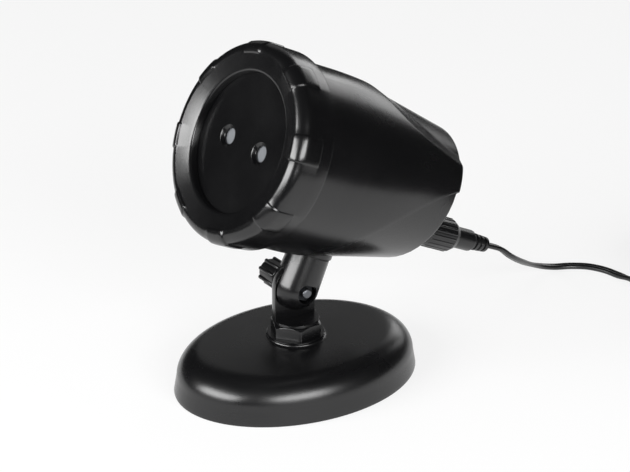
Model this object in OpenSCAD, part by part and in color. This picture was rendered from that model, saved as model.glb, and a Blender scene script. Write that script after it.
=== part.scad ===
// Garden light projector on an oval table foot, with a tilting head and a low-voltage lead.
// Lengths are in millimetres and angles in degrees.
// Origin: middle of the foot's underside. +Z is up and the head faces -Y.

/* [Base] */
// Length of the oval base, front to back
base_l = 150; // [136:1:165]
// Width of the oval base
base_w = 113; // [104:1:130]
// Height of the upright wall round the base
base_wall_h = 10; // [8:0.5:14]
// Inward lean of that wall from bottom to top
base_draft = 1.4; // [0.6:0.1:3]
// Radius of the rounded shoulder above the wall
shoulder_r = 15; // [12:0.5:17]
// Rise of the crown above the shoulder
crown_h = 1.8; // [0.8:0.1:4]
// Thickness of the base cover's wall
cover_t = 2.6; // [2:0.1:3.4]
// Thickness of the non-slip pad under the base
pad_t = 1.2; // [0.8:0.1:2]
// Thickness of the base plate
plate_t = 2; // [1.5:0.1:3]
// Thickness of the steel weight
weight_t = 7; // [5:0.5:8]
// Width of the steel weight
weight_w = 88; // [80:1:90]
// Length of the steel weight
weight_l = 122; // [112:1:124]
// Diameter of the screw bosses inside the cover
boss_d = 8; // [7:0.5:9]

/* [Post and lock nut] */
// Diameter of the post
post_d = 27; // [26:0.5:29]
// Diameter of the post's lower stub
stub_d = 18; // [16:0.5:20]
// Distance across the lock nut's flats
nut_af = 26.5; // [25.5:0.5:30]
// Height of the lock nut
nut_h = 8.6; // [7:0.2:11]
// Height of the flange at the foot of the lock nut
nut_flange_h = 1.2; // [0.8:0.1:2]
// Direction of one of the nut's corners
nut_turn = 37.5; // [0:0.5:59.5]
// Height of the tilt pivot above the ground
pivot_h = 57; // [56:0.5:62]
// Thickness of the post's foot below its cut-away half
post_foot_h = 1.4; // [1:0.1:2.5]

/* [Tilt joint] */
// Tilt of the head above level as photographed
head_tilt = 26; // [5:0.5:34]
// Distance between the two lapped cheeks
lap_gap = 1.35; // [1.2:0.05:2]
// Thickness of the friction washer between the cheeks
friction_t = 1; // [0.8:0.05:1]
// Diameter of the tilt bolt
bolt_d = 6; // [5:0.5:7]
// Distance across the tilt nut's flats
bolt_nut_af = 9.6; // [9:0.1:10]
// Thickness of the tilt nut
bolt_nut_h = 5; // [4:0.25:6]
// Reach of the bolt's end to the side of the pivot
bolt_reach = 12.4; // [11.5:0.1:13]
// Radius of the thumb knob over its ribs
knob_r = 8.4; // [8:0.1:10]
// Length of the thumb knob
knob_l = 15.6; // [14:0.2:19]
// Number of ribs on the thumb knob
knob_ribs = 8; // [6:1:12]
// Thickness of the washer under the knob
knob_washer_t = 1.2; // [0.8:0.1:1.6]

/* [Neck] */
// Diameter of the neck where it meets the head
neck_top_d = 24.8; // [24:0.2:26]
// Diameter of the neck's ball end at the pivot
neck_ball_d = 26.4; // [25.8:0.2:26.8]
// Thickness of the gasket under the head
gasket_t = 0.8; // [0.6:0.1:1.2]
// Height of the head's flat seat above the pivot
neck_seat_z = 21.5; // [20.5:0.5:25.5]
// Depth of the neck's flat seat inside the housing's radius
seat_drop = 3; // [2.3:0.1:3.5]

/* [Head housing] */
// Step from the bezel down to the housing behind it
bezel_step = 3.6; // [3:0.1:4.2]
// Place along the axis where the side wings start to taper
wing_bend_t = 5; // [0:0.5:8]
// Taper of the side wings toward the rear
wing_taper = 10.2; // [9.6:0.1:10.6]
// Radius of the bend into that taper
wing_bend_r = 300; // [200:5:320]
// Step from the wings down to the core at its front
core_step = 0.5; // [0.3:0.1:1]
// Place along the axis where the core starts to taper
core_t = 20; // [16:0.5:24]
// Taper of the core toward the rear
core_taper = 9.4; // [9.2:0.1:10.2]
// Place along the axis where the rear face crosses it
rear_t = -52; // [-53.5:0.5:-51.5]
// Slant of the rear face
rear_slant = 9; // [6:0.5:9.5]
// Wall thickness of the housing
wall_t = 2.6; // [2.2:0.1:3]
// Radius of the rounded cut over the top of the wings
top_cut_r = 69; // [62:1:80]
// Slope of that cut against the axis
top_cut_slope = 15.6; // [14:0.2:17]
// Depth of that cut inside the housing's radius at its front end
top_cut_drop = 2; // [1:0.1:2.5]
// Radius of the curved cut under the wings
low_cut_r = 129; // [126:0.5:131]

/* [Bezel and front plate] */
// Place along the axis of the seam between housing and bezel
seam_t = 56; // [54:0.5:57]
// Outer radius of the bezel
bezel_r = 56.6; // [56.1:0.1:57.6]
// Place along the axis of the bezel's front edge
bezel_front_t = 80; // [79:0.5:84]
// Radius of the bezel's rounded front edge
bezel_round = 6.5; // [5:0.25:7.5]
// Width of the bezel's front face, out to its side
bezel_face = 17; // [13.5:0.5:21]
// Depth of the opening's lip behind the bezel's front
lip_drop = 2.2; // [1.5:0.1:3]
// Number of raised lugs round the bezel
lug_count = 8; // [6:1:12]
// Width of each lug
lug_angle = 15; // [10:1:20]
// Turn of the first lug from level
lug_turn = 15; // [0:1:44]
// Height of the lugs above the bezel
lug_h = 0.7; // [0.5:0.1:1.4]
// Length of the lugs along the bezel's side
lug_l = 9; // [6:0.5:12]
// Thickness of the front plate
front_t = 4.5; // [4:0.1:5]
// Depth of the front plate behind the bezel's front
front_drop = 7.3; // [6.5:0.1:8]
// Distance from the axis to each light opening
beam_x = 15.5; // [14:0.5:18]
// Height of the light openings against the axis
beam_v = -0.5; // [-2:0.5:2]
// Diameter of the countersunk rim of each opening
rim_d = 12.5; // [11.5:0.1:14]
// Diameter of each light opening
hole_d = 9; // [7:0.25:9.5]
// Diameter of each window
window_d = 11; // [10.5:0.1:12]
// Thickness of each window
window_t = 1.4; // [1:0.1:1.6]

/* [Light modules] */
// Diameter of each light module
module_d = 12; // [10:0.5:13]
// Length of each light module
module_l = 30; // [27:0.5:34]
// Width of the block that carries the modules
carrier_w = 60; // [58:0.5:64]
// Height of that block
carrier_v = 24; // [22:0.5:28]
// Length of that block along the axis
carrier_l = 22; // [18:0.5:26]
// Width of the driver board
board_w = 56; // [52:0.5:60]
// Height of the driver board
board_v = 40; // [36:0.5:44]
// Thickness of the driver board
board_t = 1.6; // [1:0.1:2]
// Distance from the block to the driver board
board_gap = 25; // [18:0.5:30]

/* [Inlet and plug] */
// Depth of the inlet below the head's axis
inlet_v = 20.5; // [18:0.5:22]
// Diameter of the inlet's threaded barrel
barrel_d = 15.6; // [15:0.1:16]
// Place along the axis of the barrel's rear end
barrel_end_t = -87.5; // [-89:0.5:-84]
// Diameter of the inlet's flange
flange_d = 24; // [22:0.5:25]
// Diameter of the coupling nut over its ribs
coupling_d = 20.6; // [20:0.1:23]
// Length of the coupling nut
coupling_l = 25; // [22:0.5:28]
// Number of ribs on the coupling nut
coupling_ribs = 20; // [12:1:24]
// Diameter of the plug's body
plug_d = 12.8; // [12:0.1:13.2]
// Length of the plug's body behind the coupling nut
plug_l = 15; // [12:0.5:18]
// Diameter of the strain relief
relief_d = 10.6; // [9:0.2:12]
// Length of the strain relief
relief_l = 13; // [11:0.5:15]
// Number of grooves in the strain relief
relief_grooves = 3; // [2:1:4]

/* [Lead] */
// Width of the flat twin lead
cord_w = 5.6; // [5:0.1:5.6]
// Thickness of the flat twin lead
cord_t = 3.1; // [2.6:0.1:3.1]
// Outer radius of the put-away coil, to the lead's middle
coil_r = 39; // [38:0.5:40]
// Turns in each layer of the coil
coil_turns = 3.25; // [3.25:1:4.25]
// Distance between neighbouring turns
coil_pitch = 3.7; // [3.6:0.05:4]
// Distance between layers of the coil
coil_rise = 6.2; // [6.1:0.05:6.6]
// Number of layers in the coil
coil_layers = 4; // [2:2:4]
// Width of the coil's tie
tie_w = 10; // [6:0.5:12]
// Thickness of the coil's tie
tie_t = 0.9; // [0.6:0.1:1]

/* [Adapter] */
// Length of the mains adapter
adapter_l = 54; // [48:1:60]
// Width of the mains adapter
adapter_w = 38; // [34:1:40]
// Height of the mains adapter
adapter_h = 28; // [26:1:32]
// Rounding of the adapter's long edges
adapter_round = 4; // [2:0.5:6]
// Diameter of the adapter's pins
pin_d = 4; // [4:0.1:4.8]
// Length of the adapter's pins
pin_l = 19; // [17:0.5:20]

/* [Fits] */
// Radial clearance of a turning fit
run_fit = 0.05; // [0.03:0.01:0.09]
// Clearance between faces that move past each other
face_gap = 0.3; // [0.25:0.05:0.4]
// Clearance round a piece that is set in place
seat_gap = 0.15; // [0.1:0.05:0.2]

/* [Hidden] */
$fn = 72;
eps = 0.01;
far = 200;

// Heights in the base
base_h = base_wall_h + shoulder_r + crown_h;
// The crown is set this much lower, so that it cuts the shoulder's round and doesn't just touch it
crown_dip = 0.01;
rim_z = 0.4;
plate_z = pad_t;
weight_z = plate_z + plate_t;
plate_side = cover_t + base_draft + 2 * seat_gap;
plate_w = base_w - 2 * plate_side;
plate_l = base_l - 2 * plate_side;
boss_in_x = 26;
boss_in_y = 32;
boss_x = base_w / 2 - boss_in_x;
boss_y = base_l / 2 - boss_in_y;
base_screw_d = 2.8;
base_screw_head_d = 5.6;
base_screw_l = 12;
base_screw_drop = 0.9;

// Post, stub and lock nut
seat_pad_h = 0.8;
nut_corner_r = nut_af / 2 / cos(30);
nut_flange_r = nut_corner_r + 1.4;
nut_chamfer_r = nut_af / 2 - 0.2;
seat_pad_d = 2 * nut_flange_r - 0.6;
seat_pad_z = base_h + seat_pad_h;
socket_wall = 6;
socket_d = stub_d + 2 * socket_wall;
stub_low_z = weight_z + weight_t + 2.6;
stub_washer_t = 1.4;
stub_washer_d = socket_d - 2;
socket_z = stub_low_z + face_gap;
weight_bore_d = stub_washer_d + 4;
nut_z = seat_pad_z + face_gap;
post_z = nut_z + nut_h + face_gap;
post_floor_z = post_z + post_foot_h;
post_screw_d = 5;
post_screw_l = 14;

// Tilt joint, measured from the pivot along X
post_face_x = -lap_gap / 2;
neck_face_x = lap_gap / 2;
cheek_clear = 0.45;
friction_rim = 4;
post_flat_x = -(post_d / 2 - 2);
knob_x = post_flat_x - knob_washer_t - face_gap;
knob_body_r = knob_r - 1;
knob_rib_r = 1.3;
knob_round = 3;
knob_washer_d = 2 * knob_body_r - 1.4;
stud_depth = 11;
recess_r = bolt_nut_af / 2 / cos(30) + 0.5;
recess_top = bolt_nut_af / 2 + seat_gap;
recess_x = neck_face_x + 3.6;
bolt_nut_x = recess_x + seat_gap;

// Neck, measured up from the pivot in the head's own frame
wing_r = bezel_r - bezel_step;
seat_v = wing_r - seat_drop;
axis_h = neck_seat_z + seat_v;
neck_top_z = neck_seat_z - gasket_t;
neck_cap_z = 9;
gasket_d = neck_top_d - 0.6;
neck_pad_d = neck_top_d + 1.6;
neck_screw_r = 7.5;
neck_screw_d = 3;
neck_screw_head_d = 5.6;
neck_screw_head_h = 2.4;
neck_pad_t = 6.5;
neck_screw_l = neck_pad_t + gasket_t + 5.5;

// Housing, measured forward along the head's axis
back_t = -72;
bend_len = wing_bend_r * tan(wing_taper / 2);
bend_front = [wing_r, wing_bend_t + bend_len];
bend_rear = [wing_r - bend_len * sin(wing_taper), wing_bend_t - bend_len * cos(wing_taper)];
wing_back_r = wing_r - (wing_bend_t - back_t) * tan(wing_taper);
core_r = wing_r - core_step;
core_back_r = core_r - (core_t - back_t) * tan(core_taper);
core_straight_l = 20;
core_front_t = core_t + core_straight_l;
top_cut_t = 3;
top_cut_v = wing_r - top_cut_drop;
low_cut_t = -93;
low_cut_v = -110;
rear_wall_t = 4;

// Bezel, front plate and spigot, measured forward along the head's axis
plate_front_t = bezel_front_t - front_drop;
plate_rear_t = plate_front_t - front_t;
spigot_front_t = plate_rear_t - face_gap / 2;
spigot_step = 1.9;
spigot_r = wing_r - spigot_step;
spigot_bore_r = spigot_r - wall_t;
bezel_bore_r = spigot_r + seat_gap;
plate_r = spigot_r - 1.1;
seal_t = seam_t + 6;
seal_d = 1.5;
seal_groove = 1.3;
bezel_open_r = bezel_r - bezel_face;
round_r = bezel_r - bezel_round;
round_t = bezel_front_t - bezel_round;
sink_depth = 1.6;
window_seat_t = plate_rear_t + window_t + seat_gap;

// Light modules and board
carrier_front_t = plate_rear_t - seat_gap;
carrier_rear_t = carrier_front_t - carrier_l;
module_front_t = carrier_front_t - 0.6;
board_front_t = carrier_rear_t - board_gap;
board_rear_t = board_front_t - board_t;
board_mid_v = -3;
carrier_screw_x = carrier_w / 2 - 4;
screw3_d = 3;
screw3_head_d = 5.5;
screw3_head_h = 2;
carrier_screw_bite = 2.6;
spacer_v = 8.5;
spacer_d = 5;
spacer_stud_d = 2.5;
spacer_stud_l = 6;
spacer_bore_l = 8;
cap_at = [18, 8];
cap_d = 8;
cap_h = 4;
chip_at = [14, 4];
chip_size = [9, 9, 2];
coil_box_at = [22, 12];
coil_box_size = [12, 8, 3];
header_at = [12, 14];
header_size = [10, 8, 5];
lead_d = 1.2;
feed_d = 1.6;
feed_x = 2.5;

// Inlet, coupling nut, plug and strain relief
inlet_seat_t = rear_t + tan(rear_slant) * inlet_v + 1.6;
inlet_seal_t = 1.2;
inlet_flange_t = 3;
flange_t = inlet_seat_t - inlet_seal_t;
inlet_boss_d = flange_d + 4;
inlet_boss_t = inlet_seat_t + 4.4;
inlet_nut_t = 4;
inlet_thread_d = barrel_d + 0.4;
inlet_inner_t = inlet_boss_t + inlet_nut_t + 4;
cup_d = barrel_d - 4;
cup_depth = 26;
contact_d = 1.6;
contact_inset = 8;
coupling_lap = 14;
coupling_front_t = barrel_end_t + coupling_lap;
coupling_end_t = coupling_front_t - coupling_l;
coupling_lip = 3;
coupling_rib_r = 0.8;
coupling_chamfer = 2;
collar_d = barrel_d - 0.2;
collar_t = 5;
collar_end_t = coupling_end_t + coupling_lip + face_gap;
nose_d = cup_d - 0.2;
nose_l = 20;
plug_end_t = coupling_end_t - plug_l;
relief_end_t = plug_end_t - relief_l;
relief_end_d = relief_d - 1.6;
groove_d = 1.6;

// Lead: where it leaves the relief, and the points that it passes on its way to the coil
exit_v = axis_h - inlet_v;
exit_dir = [0, cos(head_tilt), -sin(head_tilt)];
exit_p = [0, exit_v * sin(head_tilt) - relief_end_t * cos(head_tilt),
          pivot_h + exit_v * cos(head_tilt) + relief_end_t * sin(head_tilt)];
floor_z = cord_t / 2 + 0.15;
end_gap = 0.4;
coil_x = 45;
coil_y = 279;
coil_z = tie_t + 0.2 + cord_w / 2;
coil_n = coil_layers * coil_turns;
coil_start = -90;
coil_steps = 24;
lead_out = exit_p + end_gap * exit_dir;
lead_straight_l = 12.5;
lead_in = [coil_x - cord_w - end_gap, coil_y - coil_r, coil_z];
lead_route = concat(
    [lead_out, lead_out + lead_straight_l * exit_dir],
    [[-1.4, 156.3, 34.4], [-5.3, 165.1, 27.9], [-10.5, 173.7, 22], [-16.1, 182.3, 16.3],
     [-21.1, 191.3, 10.9], [-24.5, 201.1, 6], [-24.6, 211.9, 2.6], [-21.3, 222.3, floor_z],
     [-14.4, 230.7, floor_z], [-4.7, 236, floor_z], [6.3, 238.3, floor_z], [17.7, 239.4, 2.7]],
    [lead_in - [10, 0, 0], lead_in]);
lead_steps = 4;
twist_from = 12;
twist_to = 14;

// Lead: from the top of the coil to the adapter
adapter_x = 110;
adapter_y = 272;
adapter_relief_d = 9;
pin_root = 7;
pin_gap = 19;
adapter_relief_l = 12;
adapter_relief_z = adapter_h / 2;
tail_start = [coil_x + cord_w + end_gap, coil_y - coil_r, coil_z + (coil_layers - 1) * coil_rise];
tail_end = [adapter_x, adapter_y - adapter_relief_l - end_gap, adapter_relief_z];
tail_bend_r = 26;
tail_route = concat(
    [tail_start, [62, 238.4, 22.3], [73, 235.3, 21]],
    [for (a = [0 : 30 : 60]) [adapter_x + tail_bend_r * (sin(a) - 1), tail_end[1] - tail_bend_r * cos(a),
        adapter_relief_z + 5 * (1 - a / 90)]],
    [tail_end]);

// Outline of the lead's section, wide way first
cord_section = [for (a = [0 : 45 : 315])
    [cord_w / 2 * sign(cos(a)) * pow(abs(cos(a)), 0.6), cord_t / 2 * sin(a)]];
coil_section = [for (p = [[2, 0], [1, 1], [-1, 1], [-2, 0], [-1, -1], [1, -1]])
    [p[0] * cord_w / 4, p[1] * cord_t / 2]];

// Frames

module in_head() {
    translate([0, 0, pivot_h]) rotate([-head_tilt, 0, 0]) children();
}

// X stays X, Y is up from the head's axis and Z runs forward along it
module on_axis() {
    in_head() translate([0, 0, axis_h]) rotate([90, 0, 0]) children();
}

// The same, on the inlet's axis
module on_inlet() {
    on_axis() translate([0, -inlet_v, 0]) children();
}

// Z runs along +X through the tilt pivot, and X is down in the head's own frame
module on_pivot() {
    in_head() rotate([0, 90, 0]) children();
}

// A half outline turned about Z in quarters and drawn out to an oval
module oval(w, l) {
    scale([1, l / w, 1]) for (q = [0 : 3])
        rotate(90 * q) rotate_extrude(angle = 90) children();
}

// Its flat faces come from the slab
module oval_disc(w, l, h) {
    intersection() {
        translate([0, 0, -h]) linear_extrude(3 * h) scale([1, l / w]) circle(d = w);
        translate([-w, -l, 0]) cube([2 * w, 2 * l, h]);
    }
}

// Base

module dome_2d(r, wall_h, draft, round, top, low) {
    shoulder_x = r - draft - round;
    drop = wall_h - top;
    crown_r = (round * round - shoulder_x * shoulder_x - drop * drop) / (2 * (drop + round));
    blend_x = shoulder_x * crown_r / (crown_r - round);
    intersection() {
        translate([0, top - crown_r - crown_dip]) circle(crown_r, $fn = 360);
        translate([0, low]) square([r + 1, top]);
        union() {
            square([blend_x, top + 1]);
            polygon([[0, 0], [r, 0], [r - draft, wall_h], [0, wall_h]]);
            translate([shoulder_x, wall_h]) circle(round);
        }
    }
}

module base_dome() {
    oval(base_w, base_l)
        dome_2d(base_w / 2, base_wall_h, base_draft, shoulder_r, base_h, rim_z);
}

module base_hollow() {
    w = base_w - 2 * cover_t;
    oval(w, base_l - 2 * cover_t)
        dome_2d(w / 2, base_wall_h, base_draft, shoulder_r - cover_t, base_h - cover_t, 0);
}

module at_bosses() {
    for (sx = [-1, 1])
        for (sy = [-1, 1])
            translate([sx * boss_x, sy * boss_y, 0]) children();
}

module base_cover() {
    color("#17181a") difference() {
        union() {
            base_dome();
            translate([0, 0, base_h - cover_t]) cylinder(d = seat_pad_d, h = cover_t + seat_pad_h);
        }
        difference() {
            base_hollow();
            at_bosses() translate([0, 0, weight_z]) cylinder(d = boss_d, h = base_h);
            translate([0, 0, socket_z]) cylinder(d = socket_d, h = base_h);
        }
        at_bosses() cylinder(d = base_screw_d + 2 * run_fit, h = plate_z + base_screw_l + 1);
        cylinder(d = stub_d + 2 * run_fit, h = far);
    }
}

module base_plate() {
    color("#26282b") difference() {
        translate([0, 0, plate_z]) oval_disc(plate_w, plate_l, plate_t);
        at_bosses() cylinder(d = base_screw_d + 2 * seat_gap, h = far);
    }
}

module foot_pad() {
    color("#101112") difference() {
        oval_disc(plate_w - 2, plate_l - 2, pad_t);
        at_bosses() translate([0, 0, -1]) cylinder(d = base_screw_head_d + 1, h = far);
    }
}

module base_weight() {
    color("#6d7074") difference() {
        translate([0, 0, weight_z]) oval_disc(weight_w, weight_l, weight_t);
        at_bosses() cylinder(d = boss_d + 1, h = far);
        cylinder(d = weight_bore_d, h = far);
    }
}

module base_screws() {
    color("#a9adb2") at_bosses() {
        translate([0, 0, plate_z - base_screw_drop])
            cylinder(d = base_screw_head_d, h = base_screw_drop);
        translate([0, 0, plate_z - eps]) cylinder(d = base_screw_d, h = base_screw_l);
    }
}

// Post and lock nut

module lock_nut() {
    edge_r = nut_corner_r + 1;
    color("#1c1d20") translate([0, 0, nut_z]) difference() {
        union() {
            intersection() {
                rotate(nut_turn) cylinder(r = nut_corner_r, h = nut_h, $fn = 6);
                rotate_extrude() polygon([[0, 0], [edge_r, 0],
                    [edge_r, nut_h - (edge_r - nut_chamfer_r) * tan(30)], [nut_chamfer_r, nut_h], [0, nut_h]]);
            }
            cylinder(r = nut_flange_r, h = nut_flange_h);
        }
        translate([0, 0, -1]) cylinder(d = stub_d + 2 * run_fit, h = nut_h + 2);
    }
}

module post() {
    ball_r = post_d / 2;
    color("#1a1b1e") difference() {
        union() {
            translate([0, 0, stub_low_z]) cylinder(d = stub_d, h = post_z - stub_low_z + 1);
            translate([0, 0, post_z]) cylinder(d = post_d, h = pivot_h - post_z);
            translate([0, 0, pivot_h]) sphere(d = post_d);
        }
        translate([post_face_x, -far / 2, post_floor_z]) cube(far);
        translate([post_flat_x - far, -far / 2, pivot_h - ball_r + 1]) cube([far, far, far]);
        translate([0, 0, pivot_h]) rotate([0, 90, 0])
            cylinder(d = bolt_d + 2 * run_fit, h = far, center = true);
        translate([0, 0, stub_low_z - 1]) cylinder(d = post_screw_d + 2 * run_fit, h = post_screw_l);
    }
}

module post_washer() {
    color("#9da1a6") translate([0, 0, stub_low_z - stub_washer_t]) difference() {
        cylinder(d = stub_washer_d, h = stub_washer_t);
        translate([0, 0, -1]) cylinder(d = post_screw_d + 2 * seat_gap, h = far);
    }
}

module post_screw() {
    head_h = 1.1;
    low_z = stub_low_z - stub_washer_t;
    color("#b0b3b7") {
        translate([0, 0, low_z - head_h]) cylinder(d = 2 * post_screw_d, h = head_h);
        translate([0, 0, low_z - eps]) cylinder(d = post_screw_d, h = post_screw_l);
    }
}

module friction_washer() {
    color("#3a3c40") translate([post_face_x, 0, pivot_h]) rotate([0, 90, 0]) difference() {
        cylinder(d = post_d - 2 * friction_rim, h = friction_t);
        translate([0, 0, -1]) cylinder(d = bolt_d + 0.6, h = far);
    }
}

module knob_washer() {
    color("#9da1a6") translate([post_flat_x - knob_washer_t, 0, pivot_h]) rotate([0, 90, 0])
        difference() {
            cylinder(d = knob_washer_d, h = knob_washer_t);
            translate([0, 0, -1]) cylinder(d = bolt_d + 0.6, h = far);
        }
}

// Tilt bolt, knob and nut

module tilt_bolt() {
    low = knob_x - stud_depth;
    tip = bolt_d / 2 - 0.7;
    color("#c9ccd0") on_pivot() rotate_extrude() polygon([[0, low], [bolt_d / 2, low],
        [bolt_d / 2, bolt_reach - 0.7], [tip, bolt_reach], [0, bolt_reach]]);
}

module tilt_knob() {
    color("#1d1e21") on_pivot() translate([0, 0, knob_x - knob_l]) difference() {
        intersection() {
            union() {
                cylinder(r = knob_body_r, h = knob_l);
                for (i = [0 : knob_ribs - 1])
                    rotate(i * 360 / knob_ribs) translate([knob_r - knob_rib_r, 0, 0])
                        cylinder(r = knob_rib_r, h = knob_l);
            }
            rotate_extrude() {
                translate([0, knob_round]) square([knob_r + 1, knob_l]);
                square([knob_r - knob_round, knob_l]);
                intersection() {
                    translate([knob_r - knob_round, knob_round]) circle(knob_round);
                    square(knob_r + 1);
                }
            }
        }
        translate([0, 0, knob_l - stud_depth - face_gap])
            cylinder(d = bolt_d + 2 * run_fit, h = far);
    }
}

module tilt_nut() {
    color("#b4b7bb") on_pivot() translate([0, 0, bolt_nut_x]) difference() {
        rotate(90) cylinder(r = bolt_nut_af / 2 / cos(30), h = bolt_nut_h, $fn = 6);
        translate([0, 0, -1]) cylinder(d = bolt_d + 2 * run_fit, h = far);
    }
}

// Neck

module at_neck_screws() {
    for (a = [90, 210, 330])
        rotate(a) translate([neck_screw_r, 0, 0]) children();
}

module neck_tube() {
    ball_r = neck_ball_d / 2;
    color("#1b1c1f") in_head() difference() {
        union() {
            sphere(r = ball_r);
            cylinder(r1 = ball_r, d2 = neck_top_d, h = neck_top_z);
        }
        intersection() {
            translate([neck_face_x - far, -far / 2, -far / 2]) cube(far);
            union() {
                sphere(d = post_d + 2 * cheek_clear);
                translate([0, 0, neck_cap_z - far]) cylinder(d = far, h = far);
            }
        }
        rotate([0, 90, 0]) cylinder(d = bolt_d + 2 * run_fit, h = far, center = true);
        intersection() {
            translate([recess_x, 0, 0]) rotate([0, 90, 0]) cylinder(r = recess_r, h = far);
            translate([0, -far / 2, recess_top - far]) cube(far);
        }
        at_neck_screws() translate([0, 0, neck_seat_z + neck_pad_t - neck_screw_l - 0.5])
            cylinder(d = neck_screw_d + 2 * run_fit, h = far);
    }
}

module neck_gasket() {
    color("#0c0c0d") in_head() translate([0, 0, neck_top_z]) difference() {
        cylinder(d = gasket_d, h = gasket_t);
        at_neck_screws() translate([0, 0, -1]) cylinder(d = neck_screw_d + 2 * seat_gap, h = far);
    }
}

module neck_screws() {
    low = neck_seat_z + neck_pad_t - neck_screw_l;
    color("#b0b3b7") in_head() at_neck_screws() {
        translate([0, 0, low]) cylinder(d = neck_screw_d, h = neck_screw_l + eps);
        translate([0, 0, low + neck_screw_l]) cylinder(d = neck_screw_head_d, h = neck_screw_head_h);
    }
}

// Housing

module wing_2d() {
    polygon([[0, back_t], [wing_back_r, back_t], bend_rear, bend_front, [wing_r, seam_t], [0, seam_t]]);
    intersection() {
        translate([wing_r - wing_bend_r, bend_front[1]]) circle(wing_bend_r, $fn = 720);
        polygon([bend_rear, [wing_r, wing_bend_t], bend_front]);
    }
}

module core_2d() {
    polygon([[0, back_t], [core_back_r, back_t], [core_r, core_t], [core_r, core_front_t],
        [0, core_front_t]]);
}

module cavity_2d() {
    polygon([[0, back_t], [core_back_r - wall_t, back_t], [core_r - wall_t, core_t],
        [spigot_bore_r, core_front_t], [spigot_bore_r, far], [0, far]]);
}

// Everything behind a slanted rear plane that crosses the axis at t
module behind(t) {
    translate([0, 0, t]) rotate([-rear_slant, 0, 0]) translate([-far / 2, -far / 2, -far]) cube(far);
}

module wings() {
    difference() {
        intersection() {
            rotate_extrude() wing_2d();
            translate([0, top_cut_v, top_cut_t]) rotate([-top_cut_slope, 0, 0])
                translate([0, -top_cut_r, 0]) cylinder(r = top_cut_r, h = 2 * far, center = true);
        }
        translate([0, low_cut_v, low_cut_t]) rotate([0, 90, 0])
            cylinder(r = low_cut_r, h = far, center = true, $fn = 360);
    }
}

module housing() {
    color("#191a1d") on_axis() difference() {
        union() {
            rotate_extrude() core_2d();
            wings();
            cylinder(r = spigot_r, h = spigot_front_t);
            translate([0, -seat_v, 0]) rotate([-90, 0, 0]) cylinder(d = neck_pad_d, h = neck_pad_t);
        }
        difference() {
            rotate_extrude() cavity_2d();
            behind(rear_t + rear_wall_t);
            translate([0, -seat_v, 0]) rotate([-90, 0, 0]) cylinder(d = neck_pad_d, h = neck_pad_t);
            translate([0, -inlet_v, back_t]) cylinder(d = inlet_boss_d, h = inlet_boss_t - back_t);
        }
        behind(rear_t);
        translate([0, -seat_v, 0]) rotate([90, 0, 0]) cylinder(d = neck_pad_d, h = far);
        translate([0, -far / 2, 0]) rotate([-90, 0, 0]) at_neck_screws()
            cylinder(d = neck_screw_d + 2 * seat_gap, h = far / 2);
        translate([0, -inlet_v, back_t]) cylinder(d = flange_d + 2 * seat_gap, h = inlet_seat_t - back_t);
        translate([0, -inlet_v, back_t]) cylinder(d = inlet_thread_d + 2 * seat_gap, h = far / 2);
        translate([0, 0, seal_t]) rotate_extrude() translate([spigot_r - seal_groove, -seal_d / 2 - 0.1])
            square([seal_groove + 1, seal_d + 0.2]);
    }
}

// Bezel and front plate

module bezel_2d() {
    difference() {
        union() {
            polygon([[bezel_open_r, seam_t], [bezel_r, seam_t], [bezel_r, round_t],
                [round_r, bezel_front_t], [bezel_open_r + 1, bezel_front_t - lip_drop],
                [bezel_open_r, bezel_front_t - lip_drop - 1]]);
            translate([round_r, round_t]) circle(bezel_round);
        }
        translate([0, seam_t - far]) square([far, far + face_gap]);
        translate([0, seam_t - 1]) square([bezel_bore_r, plate_front_t + seat_gap - seam_t + 1]);
    }
}

module lug_2d() {
    intersection() {
        union() {
            translate([round_r, round_t]) circle(bezel_round + lug_h);
            translate([round_r, round_t - lug_l]) square([bezel_round + lug_h, lug_l]);
        }
        translate([round_r - 1, round_t - lug_l]) square([far, far]);
    }
}

module front_bezel() {
    color("#151619") on_axis() {
        difference() {
            union() {
                rotate_extrude() bezel_2d();
                for (i = [0 : lug_count - 1])
                    rotate(lug_turn - lug_angle / 2 + i * 360 / lug_count)
                        rotate_extrude(angle = lug_angle) lug_2d();
            }
            translate([0, 0, seam_t - 1])
                cylinder(r = bezel_bore_r, h = plate_front_t + seat_gap - seam_t + 1);
        }
    }
}

module bezel_seal() {
    color("#0b0b0c") on_axis() translate([0, 0, seal_t]) rotate_extrude()
        translate([spigot_r - seal_groove + seal_d / 2, 0]) circle(d = seal_d - 0.2);
}

module at_beams() {
    for (s = [-1, 1])
        translate([s * beam_x, beam_v, 0]) children();
}

module front_plate() {
    color("#0f1012") on_axis() difference() {
        translate([0, 0, plate_rear_t]) cylinder(r = plate_r, h = front_t);
        at_beams() {
            cylinder(d = hole_d, h = far);
            translate([0, 0, plate_front_t - sink_depth])
                cylinder(d1 = hole_d, d2 = rim_d, h = sink_depth + eps);
            translate([0, 0, plate_rear_t - 1])
                cylinder(d = window_d + 2 * seat_gap, h = window_seat_t - plate_rear_t + 1);
        }
        for (s = [-1, 1])
            translate([s * carrier_screw_x, beam_v, plate_rear_t - 1])
                cylinder(d = screw3_d + 2 * run_fit, h = carrier_screw_bite + 1.4);
    }
}

module window(side) {
    color("#b9bcc0") on_axis() translate([side * beam_x, beam_v, plate_rear_t])
        cylinder(d = window_d, h = window_t);
}

module window_left() {
    window(-1);
}

module window_right() {
    window(1);
}

// Light modules and driver board

module module_carrier() {
    color("#8d9196") on_axis() difference() {
        translate([-carrier_w / 2, beam_v - carrier_v / 2, carrier_rear_t])
            cube([carrier_w, carrier_v, carrier_l]);
        at_beams() cylinder(d = module_d + 2 * run_fit, h = far);
        for (s = [-1, 1]) {
            translate([s * carrier_screw_x, beam_v, 0]) cylinder(d = screw3_d + 2 * seat_gap, h = far);
            translate([0, beam_v + s * spacer_v, 0])
                cylinder(d = spacer_stud_d + 2 * run_fit, h = carrier_rear_t + spacer_stud_l + 0.5);
        }
    }
}

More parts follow.
